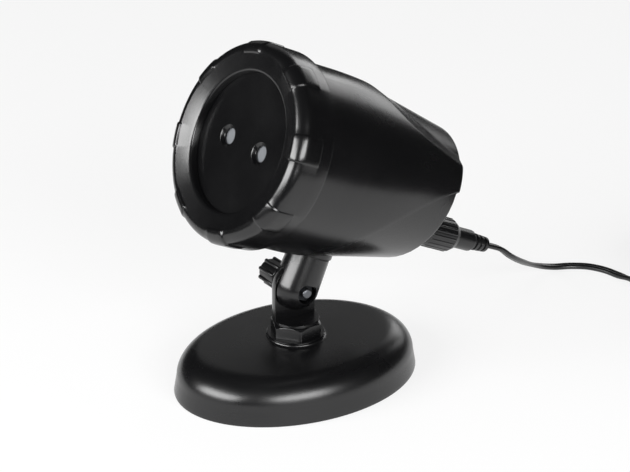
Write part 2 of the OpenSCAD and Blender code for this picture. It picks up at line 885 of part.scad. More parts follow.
module carrier_screws() {
    tip_t = plate_rear_t + carrier_screw_bite;
    color("#b0b3b7") on_axis() for (s = [-1, 1])
        translate([s * carrier_screw_x, beam_v, 0]) {
            translate([0, 0, carrier_rear_t - eps]) cylinder(d = screw3_d, h = tip_t - carrier_rear_t);
            translate([0, 0, carrier_rear_t - screw3_head_h])
                cylinder(d = screw3_head_d, h = screw3_head_h);
        }
}

module light_module(side) {
    on_axis() translate([side * beam_x, beam_v, module_front_t - module_l]) difference() {
        cylinder(d = module_d, h = module_l);
        translate([0, 0, module_l - 3]) cylinder(d = module_d / 2, h = far);
    }
}

module module_green() {
    color("#b08d4a") light_module(-1);
}

module module_red() {
    color("#b08d4a") light_module(1);
}

module board_spacers() {
    color("#c2a45c") on_axis() for (s = [-1, 1])
        translate([0, beam_v + s * spacer_v, board_front_t]) difference() {
            union() {
                cylinder(d = spacer_d, h = board_gap);
                translate([0, 0, board_gap - eps]) cylinder(d = spacer_stud_d, h = spacer_stud_l);
            }
            translate([0, 0, -1]) cylinder(d = spacer_stud_d + 2 * run_fit, h = spacer_bore_l + 1);
        }
}

module driver_board() {
    color("#1e5a38") on_axis() difference() {
        translate([-board_w / 2, board_mid_v - board_v / 2, board_rear_t])
            cube([board_w, board_v, board_t]);
        for (s = [-1, 1])
            translate([0, beam_v + s * spacer_v, 0])
                cylinder(d = spacer_stud_d + 2 * seat_gap, h = far, center = true);
    }
}

module board_parts() {
    color("#2b2c30") on_axis() translate([0, board_mid_v, board_rear_t]) {
        translate([-cap_at[0], cap_at[1], -cap_h]) cylinder(d = cap_d, h = cap_h);
        translate([chip_at[0], chip_at[1], -chip_size[2]]) cube(chip_size);
        translate([-coil_box_at[0], -coil_box_at[1], -coil_box_size[2]]) cube(coil_box_size);
        translate([header_at[0], -header_at[1], -header_size[2]]) cube(header_size);
    }
}

module board_screws() {
    color("#b0b3b7") on_axis() for (s = [-1, 1])
        translate([0, beam_v + s * spacer_v, board_rear_t]) {
            translate([0, 0, -1.4]) cylinder(d = 4.5, h = 1.4);
            translate([0, 0, -eps]) cylinder(d = spacer_stud_d, h = board_t + 6);
        }
}

module module_leads() {
    lead_l = module_front_t - module_l - board_front_t;
    color("#a33a2e") on_axis() translate([0, 0, board_front_t]) at_beams()
        for (s = [-1, 1])
            translate([0, s * 2, 0]) cylinder(d = lead_d, h = lead_l);
}

module feed_wires() {
    color("#a33a2e") on_inlet() for (s = [-1, 1])
        translate([s * feed_x, 0, inlet_inner_t + 2])
            cylinder(d = feed_d, h = board_rear_t - inlet_inner_t - 2);
}

// Inlet, coupling nut and plug

module inlet_socket() {
    color("#1b1c1f") on_inlet() difference() {
        union() {
            translate([0, 0, barrel_end_t]) cylinder(d = barrel_d, h = flange_t - barrel_end_t);
            translate([0, 0, flange_t - inlet_flange_t]) cylinder(d = flange_d, h = inlet_flange_t);
            translate([0, 0, flange_t - eps]) cylinder(d = inlet_thread_d, h = inlet_inner_t - flange_t);
        }
        translate([0, 0, barrel_end_t - 1]) cylinder(d = cup_d, h = cup_depth + 1);
        for (s = [-1, 1])
            translate([s * feed_x, 0, -far]) cylinder(d = contact_d + 2 * run_fit, h = 2 * far);
    }
}

module inlet_seal() {
    color("#0b0b0c") on_inlet() translate([0, 0, flange_t]) difference() {
        cylinder(d = flange_d - 1, h = inlet_seal_t);
        translate([0, 0, -1]) cylinder(d = inlet_thread_d + 2 * seat_gap, h = far);
    }
}

module inlet_nut() {
    color("#1b1c1f") on_inlet() translate([0, 0, inlet_boss_t]) difference() {
        cylinder(r = inlet_thread_d / 2 + 4, h = inlet_nut_t, $fn = 6);
        translate([0, 0, -1]) cylinder(d = inlet_thread_d + 2 * run_fit, h = far);
    }
}

module inlet_contacts() {
    low = barrel_end_t + contact_inset;
    color("#c9a95a") on_inlet() for (s = [-1, 1])
        translate([s * feed_x, 0, low]) cylinder(d = contact_d, h = inlet_inner_t + 2 - low);
}

module coupling_nut() {
    body_r = coupling_d / 2 - coupling_rib_r / 2;
    rib_l = coupling_l - 3 * coupling_chamfer;
    color("#17181b") on_inlet() translate([0, 0, coupling_end_t]) difference() {
        union() {
            rotate_extrude() polygon([[0, 0], [body_r - coupling_chamfer, 0],
                [body_r, 2 * coupling_chamfer], [body_r, coupling_l - 0.6], [body_r - 0.6, coupling_l],
                [0, coupling_l]]);
            translate([0, 0, 2 * coupling_chamfer]) linear_extrude(rib_l)
                for (i = [0 : coupling_ribs - 1])
                    rotate(i * 360 / coupling_ribs) translate([body_r - coupling_rib_r / 2, 0])
                        circle(coupling_rib_r);
        }
        translate([0, 0, coupling_lip]) cylinder(d = barrel_d + 2 * run_fit, h = far);
        translate([0, 0, -1]) cylinder(d = plug_d + 2 * seat_gap, h = far);
    }
}

module plug_body() {
    nose_t = barrel_end_t - face_gap + nose_l;
    color("#141517") on_inlet() difference() {
        union() {
            translate([0, 0, plug_end_t]) cylinder(d = plug_d, h = collar_end_t - plug_end_t + 1);
            translate([0, 0, collar_end_t])
                cylinder(d = collar_d, h = barrel_end_t - face_gap - collar_end_t);
            translate([0, 0, barrel_end_t - 1]) cylinder(d = nose_d, h = nose_t - barrel_end_t + 1);
        }
        for (s = [-1, 1])
            translate([s * feed_x, 0, barrel_end_t + 2])
                cylinder(d = contact_d + 2 * seat_gap, h = far);
    }
}

module strain_relief() {
    pitch = relief_l / (relief_grooves + 0.5);
    color("#111214") on_inlet() translate([0, 0, relief_end_t]) rotate_extrude() difference() {
        polygon([[0, 0], [relief_end_d / 2, 0], [relief_d / 2, relief_l], [0, relief_l]]);
        for (i = [0 : relief_grooves - 1])
            translate([relief_d / 2, (i + 0.9) * pitch]) circle(d = groove_d, $fn = 32);
    }
}

// Lead

function unit(v) = v / norm(v);

function curve(p0, p1, p2, p3, s) = 0.5 * (2 * p1 + (p2 - p0) * s + (2 * p0 - 5 * p1 + 4 * p2 - p3) * s * s
    + (3 * p1 - p0 - 3 * p2 + p3) * s * s * s);

function smooth(route, steps) = let (last = len(route) - 1) concat(
    [for (i = [0 : last - 1]) for (k = [0 : steps - 1])
        curve(route[max(i - 1, 0)], route[i], route[i + 1], route[min(i + 2, last)], k / steps)],
    [route[last]]);

function heading(path, i) = unit(path[min(i + 1, len(path) - 1)] - path[max(i - 1, 0)]);

function ring(centre, along, roll, section) =
    let (side = unit(cross(along, [0, 0, 1])), up = cross(side, along))
    let (wide = cos(roll) * side + sin(roll) * up, thin = cos(roll) * up - sin(roll) * side)
    [for (p = section) centre + p[0] * wide + p[1] * thin];

module swept(path, rolls, section) {
    n = len(section);
    last = len(path) - 1;
    points = [for (i = [0 : last]) each ring(path[i], heading(path, i), rolls[i], section)];
    sides = [for (i = [0 : last - 1]) for (k = [0 : n - 1])
        let (a = i * n + k, b = i * n + (k + 1) % n) each [[a, b, b + n], [a, b + n, a + n]]];
    ends = [[for (k = [n - 1 : -1 : 0]) k], [for (k = [0 : n - 1]) last * n + k]];
    polyhedron(points, concat(sides, ends), convexity = 8);
}

function lead_roll(i) = 90 * min(max((i / lead_steps - twist_from) / (twist_to - twist_from), 0), 1);

module cord_lead() {
    path = smooth(lead_route, lead_steps);
    color("#0e0f10") swept(path, [for (i = [0 : len(path) - 1]) lead_roll(i)], cord_section);
}

module cord_tail() {
    path = smooth(tail_route, lead_steps);
    color("#0e0f10") swept(path, [for (p = path) 90], cord_section);
}

// The coil winds in, climbs, winds out, and so on, so that both its ends lie outside
function coil_in(u) = let (layer = floor(min(u, coil_n - eps) / coil_turns), part = u - layer * coil_turns)
    layer % 2 == 0 ? part : coil_turns - part;

function climbed(u, k) = k < 1 ? 0 : climbed(u, k - 1) + min(max(2 * (u - k * coil_turns) + 0.5, 0), 1);

function coil_rz(u) = [coil_r - coil_pitch * coil_in(u), coil_z + coil_rise * climbed(u, coil_layers - 1)];

function coil_point(u) = let (q = coil_rz(u), a = coil_start + 360 * u)
    [coil_x + q[0] * cos(a), coil_y + q[0] * sin(a), q[1]];

function edge_gap(p, a, b) = let (d = b - a, s = min(max((p - a) * d / (d * d), 0), 1)) norm(p - a - s * d);

function upright(q) = [for (p = coil_section) [q[0] + p[1], q[1] + p[0]]];

function section_gap(q1, q2) = let (s1 = upright(q1), s2 = upright(q2), n = len(s1))
    min([for (p = s1) for (k = [0 : n - 1]) edge_gap(p, s2[k], s2[(k + 1) % n])]);

module cord_coil() {
    rings = round(coil_n * coil_steps);
    flat = [for (i = [0 : rings]) coil_rz(i / coil_steps)];
    near = [for (i = [0 : rings]) for (j = [i + coil_steps : coil_steps : rings])
        if (norm(flat[i] - flat[j]) < 2 * coil_rise) section_gap(flat[i], flat[j])];
    echo(coil_least_gap = min(near));
    path = concat([coil_point(0) - [cord_w, 0, 0]], [for (i = [0 : rings]) coil_point(i / coil_steps)],
        [coil_point(coil_n) + [cord_w, 0, 0]]);
    color("#0e0f10") swept(path, [for (p = path) 90], coil_section);
}

module coil_tie() {
    slack = 0.8;
    bundle_r = cord_t / 2 + slack;
    r_in = coil_r - coil_pitch * coil_turns - bundle_r;
    r_out = coil_r + bundle_r;
    top = coil_z + (coil_layers - 1) * coil_rise + cord_w / 2 + 0.3;
    color("#202226") translate([coil_x, coil_y, 0]) rotate([90, 0, 90]) translate([0, 0, -tie_w / 2])
        linear_extrude(tie_w) difference() {
            translate([r_in - tie_t, 0]) square([r_out - r_in + 2 * tie_t, top + tie_t]);
            translate([r_in, tie_t]) square([r_out - r_in, top - tie_t]);
        }
}

// Adapter

module rounded_2d(w, h, r) {
    translate([-w / 2 + r, 0]) square([w - 2 * r, h]);
    translate([-w / 2, r]) square([w, h - 2 * r]);
    for (sx = [-1, 1])
        for (y = [r, h - r])
            translate([sx * (w / 2 - r), y]) circle(r);
}

module adapter_case() {
    color("#151619") translate([adapter_x, adapter_y, 0]) difference() {
        translate([0, adapter_l, 0]) rotate([90, 0, 0]) linear_extrude(adapter_l)
            rounded_2d(adapter_w, adapter_h, adapter_round);
        at_pins() translate([0, 0, -pin_root - 1]) cylinder(d = pin_d + 2 * run_fit, h = far);
    }
}

module at_pins() {
    for (s = [-1, 1])
        translate([s * pin_gap / 2, adapter_l, adapter_h / 2]) rotate([-90, 0, 0]) children();
}

module adapter_relief() {
    color("#111214") translate([adapter_x, adapter_y, adapter_relief_z]) rotate([90, 0, 0])
        cylinder(d1 = adapter_relief_d + 1, d2 = adapter_relief_d - 1, h = adapter_relief_l);
}

module adapter_pins() {
    color("#c9ccd0") translate([adapter_x, adapter_y, 0]) at_pins() {
        translate([0, 0, -pin_root]) cylinder(d = pin_d, h = pin_root + pin_l - pin_d / 2);
        translate([0, 0, pin_l - pin_d / 2]) sphere(d = pin_d);
    }
}

foot_pad();
base_plate();
base_weight();
base_cover();
base_screws();
lock_nut();
post();
post_washer();
post_screw();
friction_washer();
knob_washer();
tilt_bolt();
tilt_knob();
tilt_nut();
neck_tube();
neck_gasket();
neck_screws();
housing();
front_bezel();
bezel_seal();
front_plate();
window_left();
window_right();
module_carrier();
carrier_screws();
module_green();
module_red();
board_spacers();
driver_board();
board_parts();
board_screws();
module_leads();
feed_wires();
inlet_socket();
inlet_seal();
inlet_nut();
inlet_contacts();
coupling_nut();
plug_body();
strain_relief();
cord_lead();
cord_coil();
coil_tie();
cord_tail();
adapter_case();
adapter_relief();
adapter_pins();
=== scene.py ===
"""Looks of the garden light projector: moulded shells, fittings, finishes, its flat lead and a plain studio.

Lengths are millimetres in the row frame, until a mesh is made from them in metres.
The head has a frame of its own: x to the side, v up from its axis and t forward along it.
"""

import logging
import math
from dataclasses import dataclass, field
from enum import Enum
from typing import Callable, Sequence

import bmesh
import bpy
from mathutils import Matrix, Vector


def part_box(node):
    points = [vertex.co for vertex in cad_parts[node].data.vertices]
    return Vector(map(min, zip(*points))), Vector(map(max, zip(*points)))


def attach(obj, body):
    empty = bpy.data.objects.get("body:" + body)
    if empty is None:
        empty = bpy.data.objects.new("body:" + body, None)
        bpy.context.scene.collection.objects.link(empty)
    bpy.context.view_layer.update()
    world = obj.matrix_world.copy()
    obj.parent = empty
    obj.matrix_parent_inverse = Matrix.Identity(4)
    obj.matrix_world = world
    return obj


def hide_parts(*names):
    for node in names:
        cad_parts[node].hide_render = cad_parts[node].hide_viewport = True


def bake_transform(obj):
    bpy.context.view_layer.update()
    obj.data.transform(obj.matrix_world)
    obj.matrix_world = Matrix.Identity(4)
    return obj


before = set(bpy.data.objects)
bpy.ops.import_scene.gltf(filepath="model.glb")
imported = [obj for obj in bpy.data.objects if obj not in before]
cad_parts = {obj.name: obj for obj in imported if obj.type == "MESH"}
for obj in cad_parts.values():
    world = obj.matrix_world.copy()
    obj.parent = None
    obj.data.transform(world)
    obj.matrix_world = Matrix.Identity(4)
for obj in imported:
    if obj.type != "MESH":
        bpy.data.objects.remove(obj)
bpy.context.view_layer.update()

MM = 0.001
LOG = logging.getLogger("projector")

Outline = list[tuple[float, float]]
Triple = tuple[float, float, float]
Row = list[Vector]
Place = Callable[[float, float, float], Vector]


# Meshes


def spread(start: float, stop: float, count: int) -> list[float]:
    """Even steps from a start toward a stop, which is left out."""
    return [start + (stop - start) * k / count for k in range(count)]


def box_of(node: str) -> tuple[Vector, Vector]:
    """The low and the high corner of a CAD node's box."""
    low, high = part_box(node)
    return low / MM, high / MM


def placed(name: str, data: bpy.types.ID) -> bpy.types.Object:
    """Puts a new object into the scene, at the origin.

    Args:
        name: the object's name.
        data: the mesh, lamp or camera that it shows.

    Returns:
        The new object.
    """
    thing = bpy.data.objects.new(name, data)
    bpy.context.scene.collection.objects.link(thing)
    return thing


def rounded(corners: Sequence[Triple], closed: bool = True, steps: int = 4) -> Outline:
    """Rounds the corners of an outline.

    Args:
        corners: (across, along, radius) of each corner.
        closed: whether the outline runs back to its first corner.
        steps: pieces in each rounded corner.

    Returns:
        The outline's points, in order.
    """
    points: Outline = []
    last, most = len(corners) - 1, 0.49
    for i, (across, along, radius) in enumerate(corners):
        here = Vector((across, along))
        if radius <= 0 or (not closed and i in (0, last)):
            points.append((across, along))
            continue
        before = Vector(corners[i - 1][:2]) - here
        after = Vector(corners[(i + 1) % (last + 1)][:2]) - here
        reach = radius / math.tan(before.angle(after) / 2)
        reach = min(reach, most * before.length, most * after.length)
        first, final = here + before.normalized() * reach, here + after.normalized() * reach
        for k in range(steps + 1):
            s = k / steps
            point = first * (1 - s) ** 2 + here * (2 * s * (1 - s)) + final * s**2
            points.append((point.x, point.y))
    return points


def rounded_box(low: Sequence[float], high: Sequence[float], inset: float, radius: float,
                steps: int) -> Outline:
    """A rectangle with rounded corners, drawn in on every side."""
    (x0, y0), (x1, y1) = [c + inset for c in low], [c - inset for c in high]
    return rounded([(x, y, radius) for x, y in ((x0, y0), (x1, y0), (x1, y1), (x0, y1))], steps=steps)


def ring_row(place: Place, radius: float, along: float, segments: int) -> Row:
    """A round row of points about the axis of a place."""
    turns = spread(0, 2 * math.pi, segments)
    return [place(radius * math.cos(a), radius * math.sin(a), along) for a in turns]


def finish_mesh(name: str, mesh: bpy.types.Mesh, sharp: float = 40.0) -> bpy.types.Object:
    """Cleans a mesh, turns its faces outwards, shades it and puts it in the scene.

    Args:
        name: the new object's name.
        mesh: the mesh, in metres.
        sharp: degrees from which an edge is shaded as an edge.

    Returns:
        The new object, at the origin.
    """
    work = bmesh.new()
    work.from_mesh(mesh)
    bmesh.ops.remove_doubles(work, verts=work.verts, dist=1e-6)
    bmesh.ops.dissolve_degenerate(work, edges=work.edges, dist=1e-7)
    bmesh.ops.recalc_face_normals(work, faces=work.faces)
    if work.calc_volume(signed=True) < 0:
        bmesh.ops.reverse_faces(work, faces=work.faces)
    work.to_mesh(mesh)
    work.free()
    for polygon in mesh.polygons:
        polygon.use_smooth = True
    mesh.set_sharp_from_angle(angle=math.radians(sharp))
    return placed(name, mesh)


def grid_piece(name: str, rows: Sequence[Row], ring: bool, capped: bool = False,
               sharp: float = 40.0) -> bpy.types.Object:
    """Joins rows of points into one skin; each row closes on itself.

    Args:
        name: the new object's name.
        rows: rows with the same number of points.
        ring: whether the last row joins the first.
        capped: whether the first and last rows are filled.
        sharp: degrees from which an edge is shaded as an edge.

    Returns:
        The new object.
    """
    width = len(rows[0])
    faces: list[tuple[int, ...]] = []
    for i in range(len(rows) if ring else len(rows) - 1):
        low, high = i * width, (i + 1) % len(rows) * width
        for j in range(width):
            k = (j + 1) % width
            faces.append((low + j, low + k, high + k, high + j))
    if capped:
        faces.append(tuple(range(width)))
        faces.append(tuple((len(rows) - 1) * width + j for j in range(width)))
    mesh = bpy.data.meshes.new(name)
    mesh.from_pydata([tuple(p * MM) for row in rows for p in row], [], faces)
    return finish_mesh(name, mesh, sharp)


def lathe(name: str, outline: Outline, place: Place, segments: int = 72,
          sharp: float = 40.0) -> bpy.types.Object:
    """Turns a closed outline of (radius, along) about an axis.

    Args:
        name: the new object's name.
        outline: the half section's points.
        place: takes (across, across, along) to the row frame.
        segments: points round the axis.
        sharp: degrees from which an edge is shaded as an edge.

    Returns:
        The new object.
    """
    rows = [ring_row(place, r, along, segments) for r, along in outline]
    return grid_piece(name, rows, ring=True, sharp=sharp)


def evaluated(piece: bpy.types.Object) -> bpy.types.Mesh:
    """The mesh that a piece's modifiers make of it; the modifiers are then taken off.

    Args:
        piece: the object with modifiers.

    Returns:
        A plain mesh.
    """
    graph = bpy.context.evaluated_depsgraph_get()
    mesh = bpy.data.meshes.new_from_object(piece.evaluated_get(graph))
    piece.modifiers.clear()
    return mesh


def eased_copy(node: str, name: str, width: float, sharp: float = 35.0) -> bpy.types.Object:
    """Copies a CAD node and breaks its sharp edges.

    Args:
        node: the CAD node.
        name: the new object's name.
        width: width of the eased edges.
        sharp: degrees from which an edge is eased.

    Returns:
        The new object.
    """
    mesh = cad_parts[node].data.copy()
    work = bmesh.new()
    work.from_mesh(mesh)
    bmesh.ops.remove_doubles(work, verts=work.verts, dist=2e-6)
    bmesh.ops.dissolve_limit(work, angle_limit=math.radians(0.6), verts=work.verts, edges=work.edges)
    work.to_mesh(mesh)
    work.free()
    mesh.materials.clear()
    piece = finish_mesh(name, mesh, sharp)
    bevel = piece.modifiers.new("eased", "BEVEL")
    bevel.width, bevel.segments = width * MM, 2
    bevel.limit_method, bevel.angle_limit = "ANGLE", math.radians(sharp)
    flat = piece.modifiers.new("flat", "WEIGHTED_NORMAL")
    flat.weight, flat.keep_sharp = 100, True
    piece.data = evaluated(piece)
    return piece


# Finishes


def linear(colour: str) -> tuple[float, float, float, float]:
    """Takes an sRGB colour such as "#1a1b1d" to the linear values that a shader reads.

    Args:
        colour: the colour, as six hexadecimal digits after a hash.

    Returns:
        Linear red, green, blue and an alpha of 1.
    """
    channels = [int(colour[i:i + 2], 16) / 255 for i in (1, 3, 5)]
    values = [c / 12.92 if c <= 0.04045 else ((c + 0.055) / 1.055) ** 2.4 for c in channels]
    return values[0], values[1], values[2], 1.0


def add_node(tree: bpy.types.NodeTree, kind: str, sockets: dict | None = None,
             **settings: object) -> bpy.types.Node:
    """Adds one node with its settings, and links or sets its inputs.

    Args:
        tree: the node tree.
        kind: the node's type.
        sockets: for each input, a value or the output that it is linked to.
        **settings: the node's own properties.

    Returns:
        The new node.
    """
    node = tree.nodes.new(kind)
    for name, value in settings.items():
        setattr(node, name, value)
    for key, value in (sockets or {}).items():
        if isinstance(value, bpy.types.NodeSocket):
            tree.links.new(value, node.inputs[key])
        else:
            node.inputs[key].default_value = value
    return node


def blank_tree(owner: bpy.types.Material | bpy.types.World) -> bpy.types.NodeTree:
    """Empties the node tree of a material or a world.

    Args:
        owner: what the tree belongs to.

    Returns:
        The empty tree.
    """
    owner.use_nodes = True
    owner.node_tree.nodes.clear()
    return owner.node_tree


# Refractive index of the plastics
PLASTIC_INDEX = 1.56
# Distance over which a surface's tone and gloss drift, and how far they do
WEAR_SIZE = 35.0
WEAR_LIFT = 1.18
WEAR_ROUGH = (-0.03, 0.04)
# Places of the colour sockets on a mix node, which has sockets of the same names for other types
MIX_SHARE, MIX_FIRST, MIX_SECOND, MIX_COLOUR = 0, 6, 7, 2


@dataclass(frozen=True)
class Finish:
    """What a piece is made of, and how its surface looks.

    Attributes:
        name: what the real material is.
        slot: the record's material slot; nothing in this script reads it.
        colour: sRGB colour.
        rough: roughness, which drifts a little over the surface.
        grain: size of the surface's grain.
        depth: depth of that grain.
        metal: 1 for bare metal.
        clear: share of light let through.
        sheen: soft glow of fibres.
    """

    name: str
    slot: str
    colour: str
    rough: float
    grain: float
    depth: float
    metal: float = 0.0
    clear: float = 0.0
    sheen: float = 0.0

    def material(self) -> bpy.types.Material:
        """Makes this finish's material once, on object coordinates.

        Returns:
            The material.
        """
        found = bpy.data.materials.get(self.name)
        if found:
            return found
        material = bpy.data.materials.new(self.name)
        tree = blank_tree(material)
        place = add_node(tree, "ShaderNodeTexCoord").outputs["Object"]
        grain = add_node(tree, "ShaderNodeTexNoise", {
            "Vector": place, "Scale": 1 / (self.grain * MM), "Detail": 2.0, "Roughness": 0.6})
        wear = add_node(tree, "ShaderNodeTexNoise", {
            "Vector": place, "Scale": 1 / (WEAR_SIZE * MM), "Detail": 3.0, "Roughness": 0.55})
        rough = add_node(tree, "ShaderNodeMapRange", {
            "Value": wear.outputs["Fac"], "From Min": 0.3, "From Max": 0.7,
            "To Min": self.rough + WEAR_ROUGH[0], "To Max": self.rough + WEAR_ROUGH[1]})
        base = linear(self.colour)
        worn = tuple(min(1.0, c * WEAR_LIFT) for c in base[:3]) + (1.0,)
        tone = add_node(tree, "ShaderNodeMix", {
            MIX_SHARE: wear.outputs["Fac"], MIX_FIRST: base, MIX_SECOND: worn}, data_type="RGBA")
        bump = add_node(tree, "ShaderNodeBump", {
            "Strength": 1.0, "Distance": self.depth * MM, "Height": grain.outputs["Fac"]})
        shader = add_node(tree, "ShaderNodeBsdfPrincipled", {
            "Base Color": tone.outputs[MIX_COLOUR], "Roughness": rough.outputs["Result"],
            "Metallic": self.metal, "Transmission Weight": self.clear, "Sheen Weight": self.sheen,
            "Normal": bump.outputs["Normal"]})
        if not self.metal:
            shader.inputs["IOR"].default_value = PLASTIC_INDEX
        add_node(tree, "ShaderNodeOutputMaterial", {"Surface": shader.outputs["BSDF"]})
        return material


class Finishes(Enum):
    """The finishes that the projector has. Grain is drawn coarser than the real one, so that it shows."""

    # Injection-moulded ABS with a spark-eroded grain: satin black, with wide soft highlights
    BASE = Finish("black_abs_satin_base", "base_black", "#0b0b0c", 0.28, 0.9, 0.006)
    HEAD = Finish("black_abs_satin_head", "head_black", "#0b0b0c", 0.25, 0.9, 0.006)
    # The same ABS from a smoother mould, so its highlights are tighter
    BEZEL = Finish("black_abs_smooth_bezel", "bezel_black", "#0b0b0c", 0.24, 1.1, 0.005)
    # Moulded nylon: a little glossier, darker in its hollows
    NECK = Finish("black_nylon_neck", "neck_black", "#0a0a0b", 0.26, 1.0, 0.006)
    NUT = Finish("black_nylon_nut", "nut_black", "#0a0a0b", 0.23, 1.0, 0.006)
    KNOB = Finish("black_nylon_knob", "knob_black", "#0a0a0b", 0.28, 1.0, 0.008)
    # ABS from a polished mould: dark, with a faint mirror of the room
    PLATE = Finish("black_abs_polished_plate", "plate_black", "#070708", 0.22, 0.8, 0.004)
    # Soft PVC and plain ABS: dull black with a broad sheen
    PLUG = Finish("black_pvc_plug", "plug_black", "#0b0b0c", 0.32, 1.0, 0.010)
    ADAPTER = Finish("black_abs_adapter", "adapter_black", "#0d0d0e", 0.34, 0.9, 0.012)
    CORD = Finish("black_pvc_lead", "cord_black", "#0a0a0b", 0.34, 1.4, 0.012)
    INNER = Finish("black_nylon_inner", "inner_black", "#121213", 0.45, 1.0, 0.010)
    # Rubber, almost matt
    RUBBER = Finish("black_rubber", "rubber_black", "#0c0c0d", 0.75, 0.7, 0.030)
    # Woven hook-and-loop strap: fuzzy and matt
    TIE = Finish("black_nylon_strap", "tie_black", "#101011", 0.85, 0.6, 0.080, sheen=0.2)
    # Frosted acrylic: milky, and lets a little light through
    WINDOW = Finish("frosted_acrylic_window", "window_milky", "#7d8084", 0.45, 1.2, 0.010, clear=0.25)
    # Zinc-plated steel: a grey glint
    BOLT = Finish("zinc_plated_bolt", "bolt_zinc", "#6a6c70", 0.42, 0.8, 0.010, metal=1.0)
    # Steel with a black oxide: dark, with a dull glint
    BLACKED = Finish("black_oxide_steel_nut", "screw_steel", "#2b2c2e", 0.42, 0.8, 0.010, metal=1.0)
    STEEL = Finish("plated_steel_screw", "screw_steel", "#a9adb2", 0.34, 0.8, 0.010, metal=1.0)
    # Bare steel, cast aluminium and turned brass, inside the shells
    WEIGHT = Finish("bare_steel_weight", "weight_steel", "#6d7074", 0.48, 1.5, 0.020, metal=1.0)
    ALLOY = Finish("cast_aluminium_carrier", "carrier_alloy", "#8d9196", 0.45, 1.2, 0.020, metal=1.0)
    BRASS = Finish("turned_brass", "module_brass", "#b08d4a", 0.30, 0.8, 0.008, metal=1.0)
    # Lacquered glass epoxy and coloured PVC, inside the shells
    BOARD = Finish("green_glass_epoxy_board", "board_green", "#1e5a38", 0.45, 1.0, 0.010)
    WIRE = Finish("red_pvc_wire", "wire_red", "#a33a2e", 0.45, 1.0, 0.010)


def dress(finish: Finishes, *nodes: str) -> None:
    """Gives CAD nodes that stay in view, or inside the shells, their finish.

    Args:
        finish: the finish.
        *nodes: the CAD nodes' names.
    """
    for name in nodes:
        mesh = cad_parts[name].data
        mesh.materials.clear()
        mesh.materials.append(finish.value.material())
        LOG.info("%s stays as the frame has it, in %s", name, finish.value.name)


def settle(piece: bpy.types.Object, body: str, finish: Finishes, *nodes: str) -> bpy.types.Object:
    """Gives a finished piece its material, its body and the CAD nodes that it stands for.

    Args:
        piece: the piece, in place.
        body: the CAD body that it moves with.
        finish: its finish.
        *nodes: the CAD nodes that it replaces.

    Returns:
        The same piece.
    """
    piece.data.materials.clear()
    piece.data.materials.append(finish.value.material())
    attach(piece, body)
    if nodes:
        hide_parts(*nodes)
    LOG.info("%s rides on %s in %s: %d faces", piece.name, body, finish.value.name, len(piece.data.polygons))
    return piece


# Repeated pieces


class NodeGroup:
    """A geometry-node group with named inputs that makes one repeated form."""

    def __init__(self, name: str, inputs: dict[str, str]) -> None:
        """Starts the group.

        Args:
            name: the group's name.
            inputs: each input's name and socket type.
        """
        self.tree = bpy.data.node_groups.new(name, "GeometryNodeTree")
        self.keys: dict[str, str] = {}
        for title, kind in inputs.items():
            socket = self.tree.interface.new_socket(name=title, in_out="INPUT", socket_type=kind)
            self.keys[title] = socket.identifier
        self.tree.interface.new_socket(name="Geometry", in_out="OUTPUT", socket_type="NodeSocketGeometry")
        self.given = add_node(self.tree, "NodeGroupInput").outputs

    def end(self, instances: bpy.types.NodeSocket) -> None:
        """Realizes the instances, sets their material and ends the group.

        Args:
            instances: the socket that holds them.
        """
        real = add_node(self.tree, "GeometryNodeRealizeInstances", {"Geometry": instances})
        painted = add_node(self.tree, "GeometryNodeSetMaterial", {
            "Geometry": real.outputs["Geometry"], "Material": self.given["Material"]})
        add_node(self.tree, "NodeGroupOutput", {0: painted.outputs["Geometry"]})

    def piece(self, name: str, values: dict, place: Matrix) -> bpy.types.Object:
        """Makes a plain mesh piece from the group.

        Args:
            name: the new object's name.
            values: each input's value.
            place: where the group's own frame is, in metres.

        Returns:
            The new object.
        """
        holder = placed(name + "_maker", bpy.data.meshes.new(name + "_maker"))
        maker = holder.modifiers.new("maker", "NODES")
        maker.node_group = self.tree
        for title, value in values.items():
            maker[self.keys[title]] = value
        mesh = evaluated(holder)
        bpy.data.objects.remove(holder)
        mesh.transform(place)
        mesh.name = name
        return finish_mesh(name, mesh)


class RibRing(NodeGroup):
    """Rounded grip ribs that stand in a ring about Z."""

    def __init__(self) -> None:
        """Builds the group."""
        super().__init__("rib_ring", {
            "Count": "NodeSocketInt", "Ring Radius": "NodeSocketFloat", "Rib Radius": "NodeSocketFloat",
            "Half Length": "NodeSocketFloat", "Material": "NodeSocketMaterial"})
        tree, given = self.tree, self.given
        ring = add_node(tree, "GeometryNodeMeshCircle", {
            "Vertices": given["Count"], "Radius": given["Ring Radius"]})
        ball = add_node(tree, "GeometryNodeMeshUVSphere", {
            "Segments": 12, "Rings": 7, "Radius": given["Rib Radius"]})
        here = add_node(tree, "GeometryNodeInputPosition")
        apart = add_node(tree, "ShaderNodeSeparateXYZ", {"Vector": here.outputs["Position"]})
        side = add_node(tree, "ShaderNodeMath", {0: apart.outputs["Z"]}, operation="SIGN")
        reach = add_node(tree, "ShaderNodeMath", {
            0: side.outputs["Value"], 1: given["Half Length"]}, operation="MULTIPLY")
        along = add_node(tree, "ShaderNodeCombineXYZ", {"Z": reach.outputs["Value"]})
        rib = add_node(tree, "GeometryNodeSetPosition", {
            "Geometry": ball.outputs["Mesh"], "Offset": along.outputs["Vector"]})
        ribs = add_node(tree, "GeometryNodeInstanceOnPoints", {
            "Points": ring.outputs["Mesh"], "Instance": rib.outputs["Geometry"]})
        self.end(ribs.outputs["Instances"])


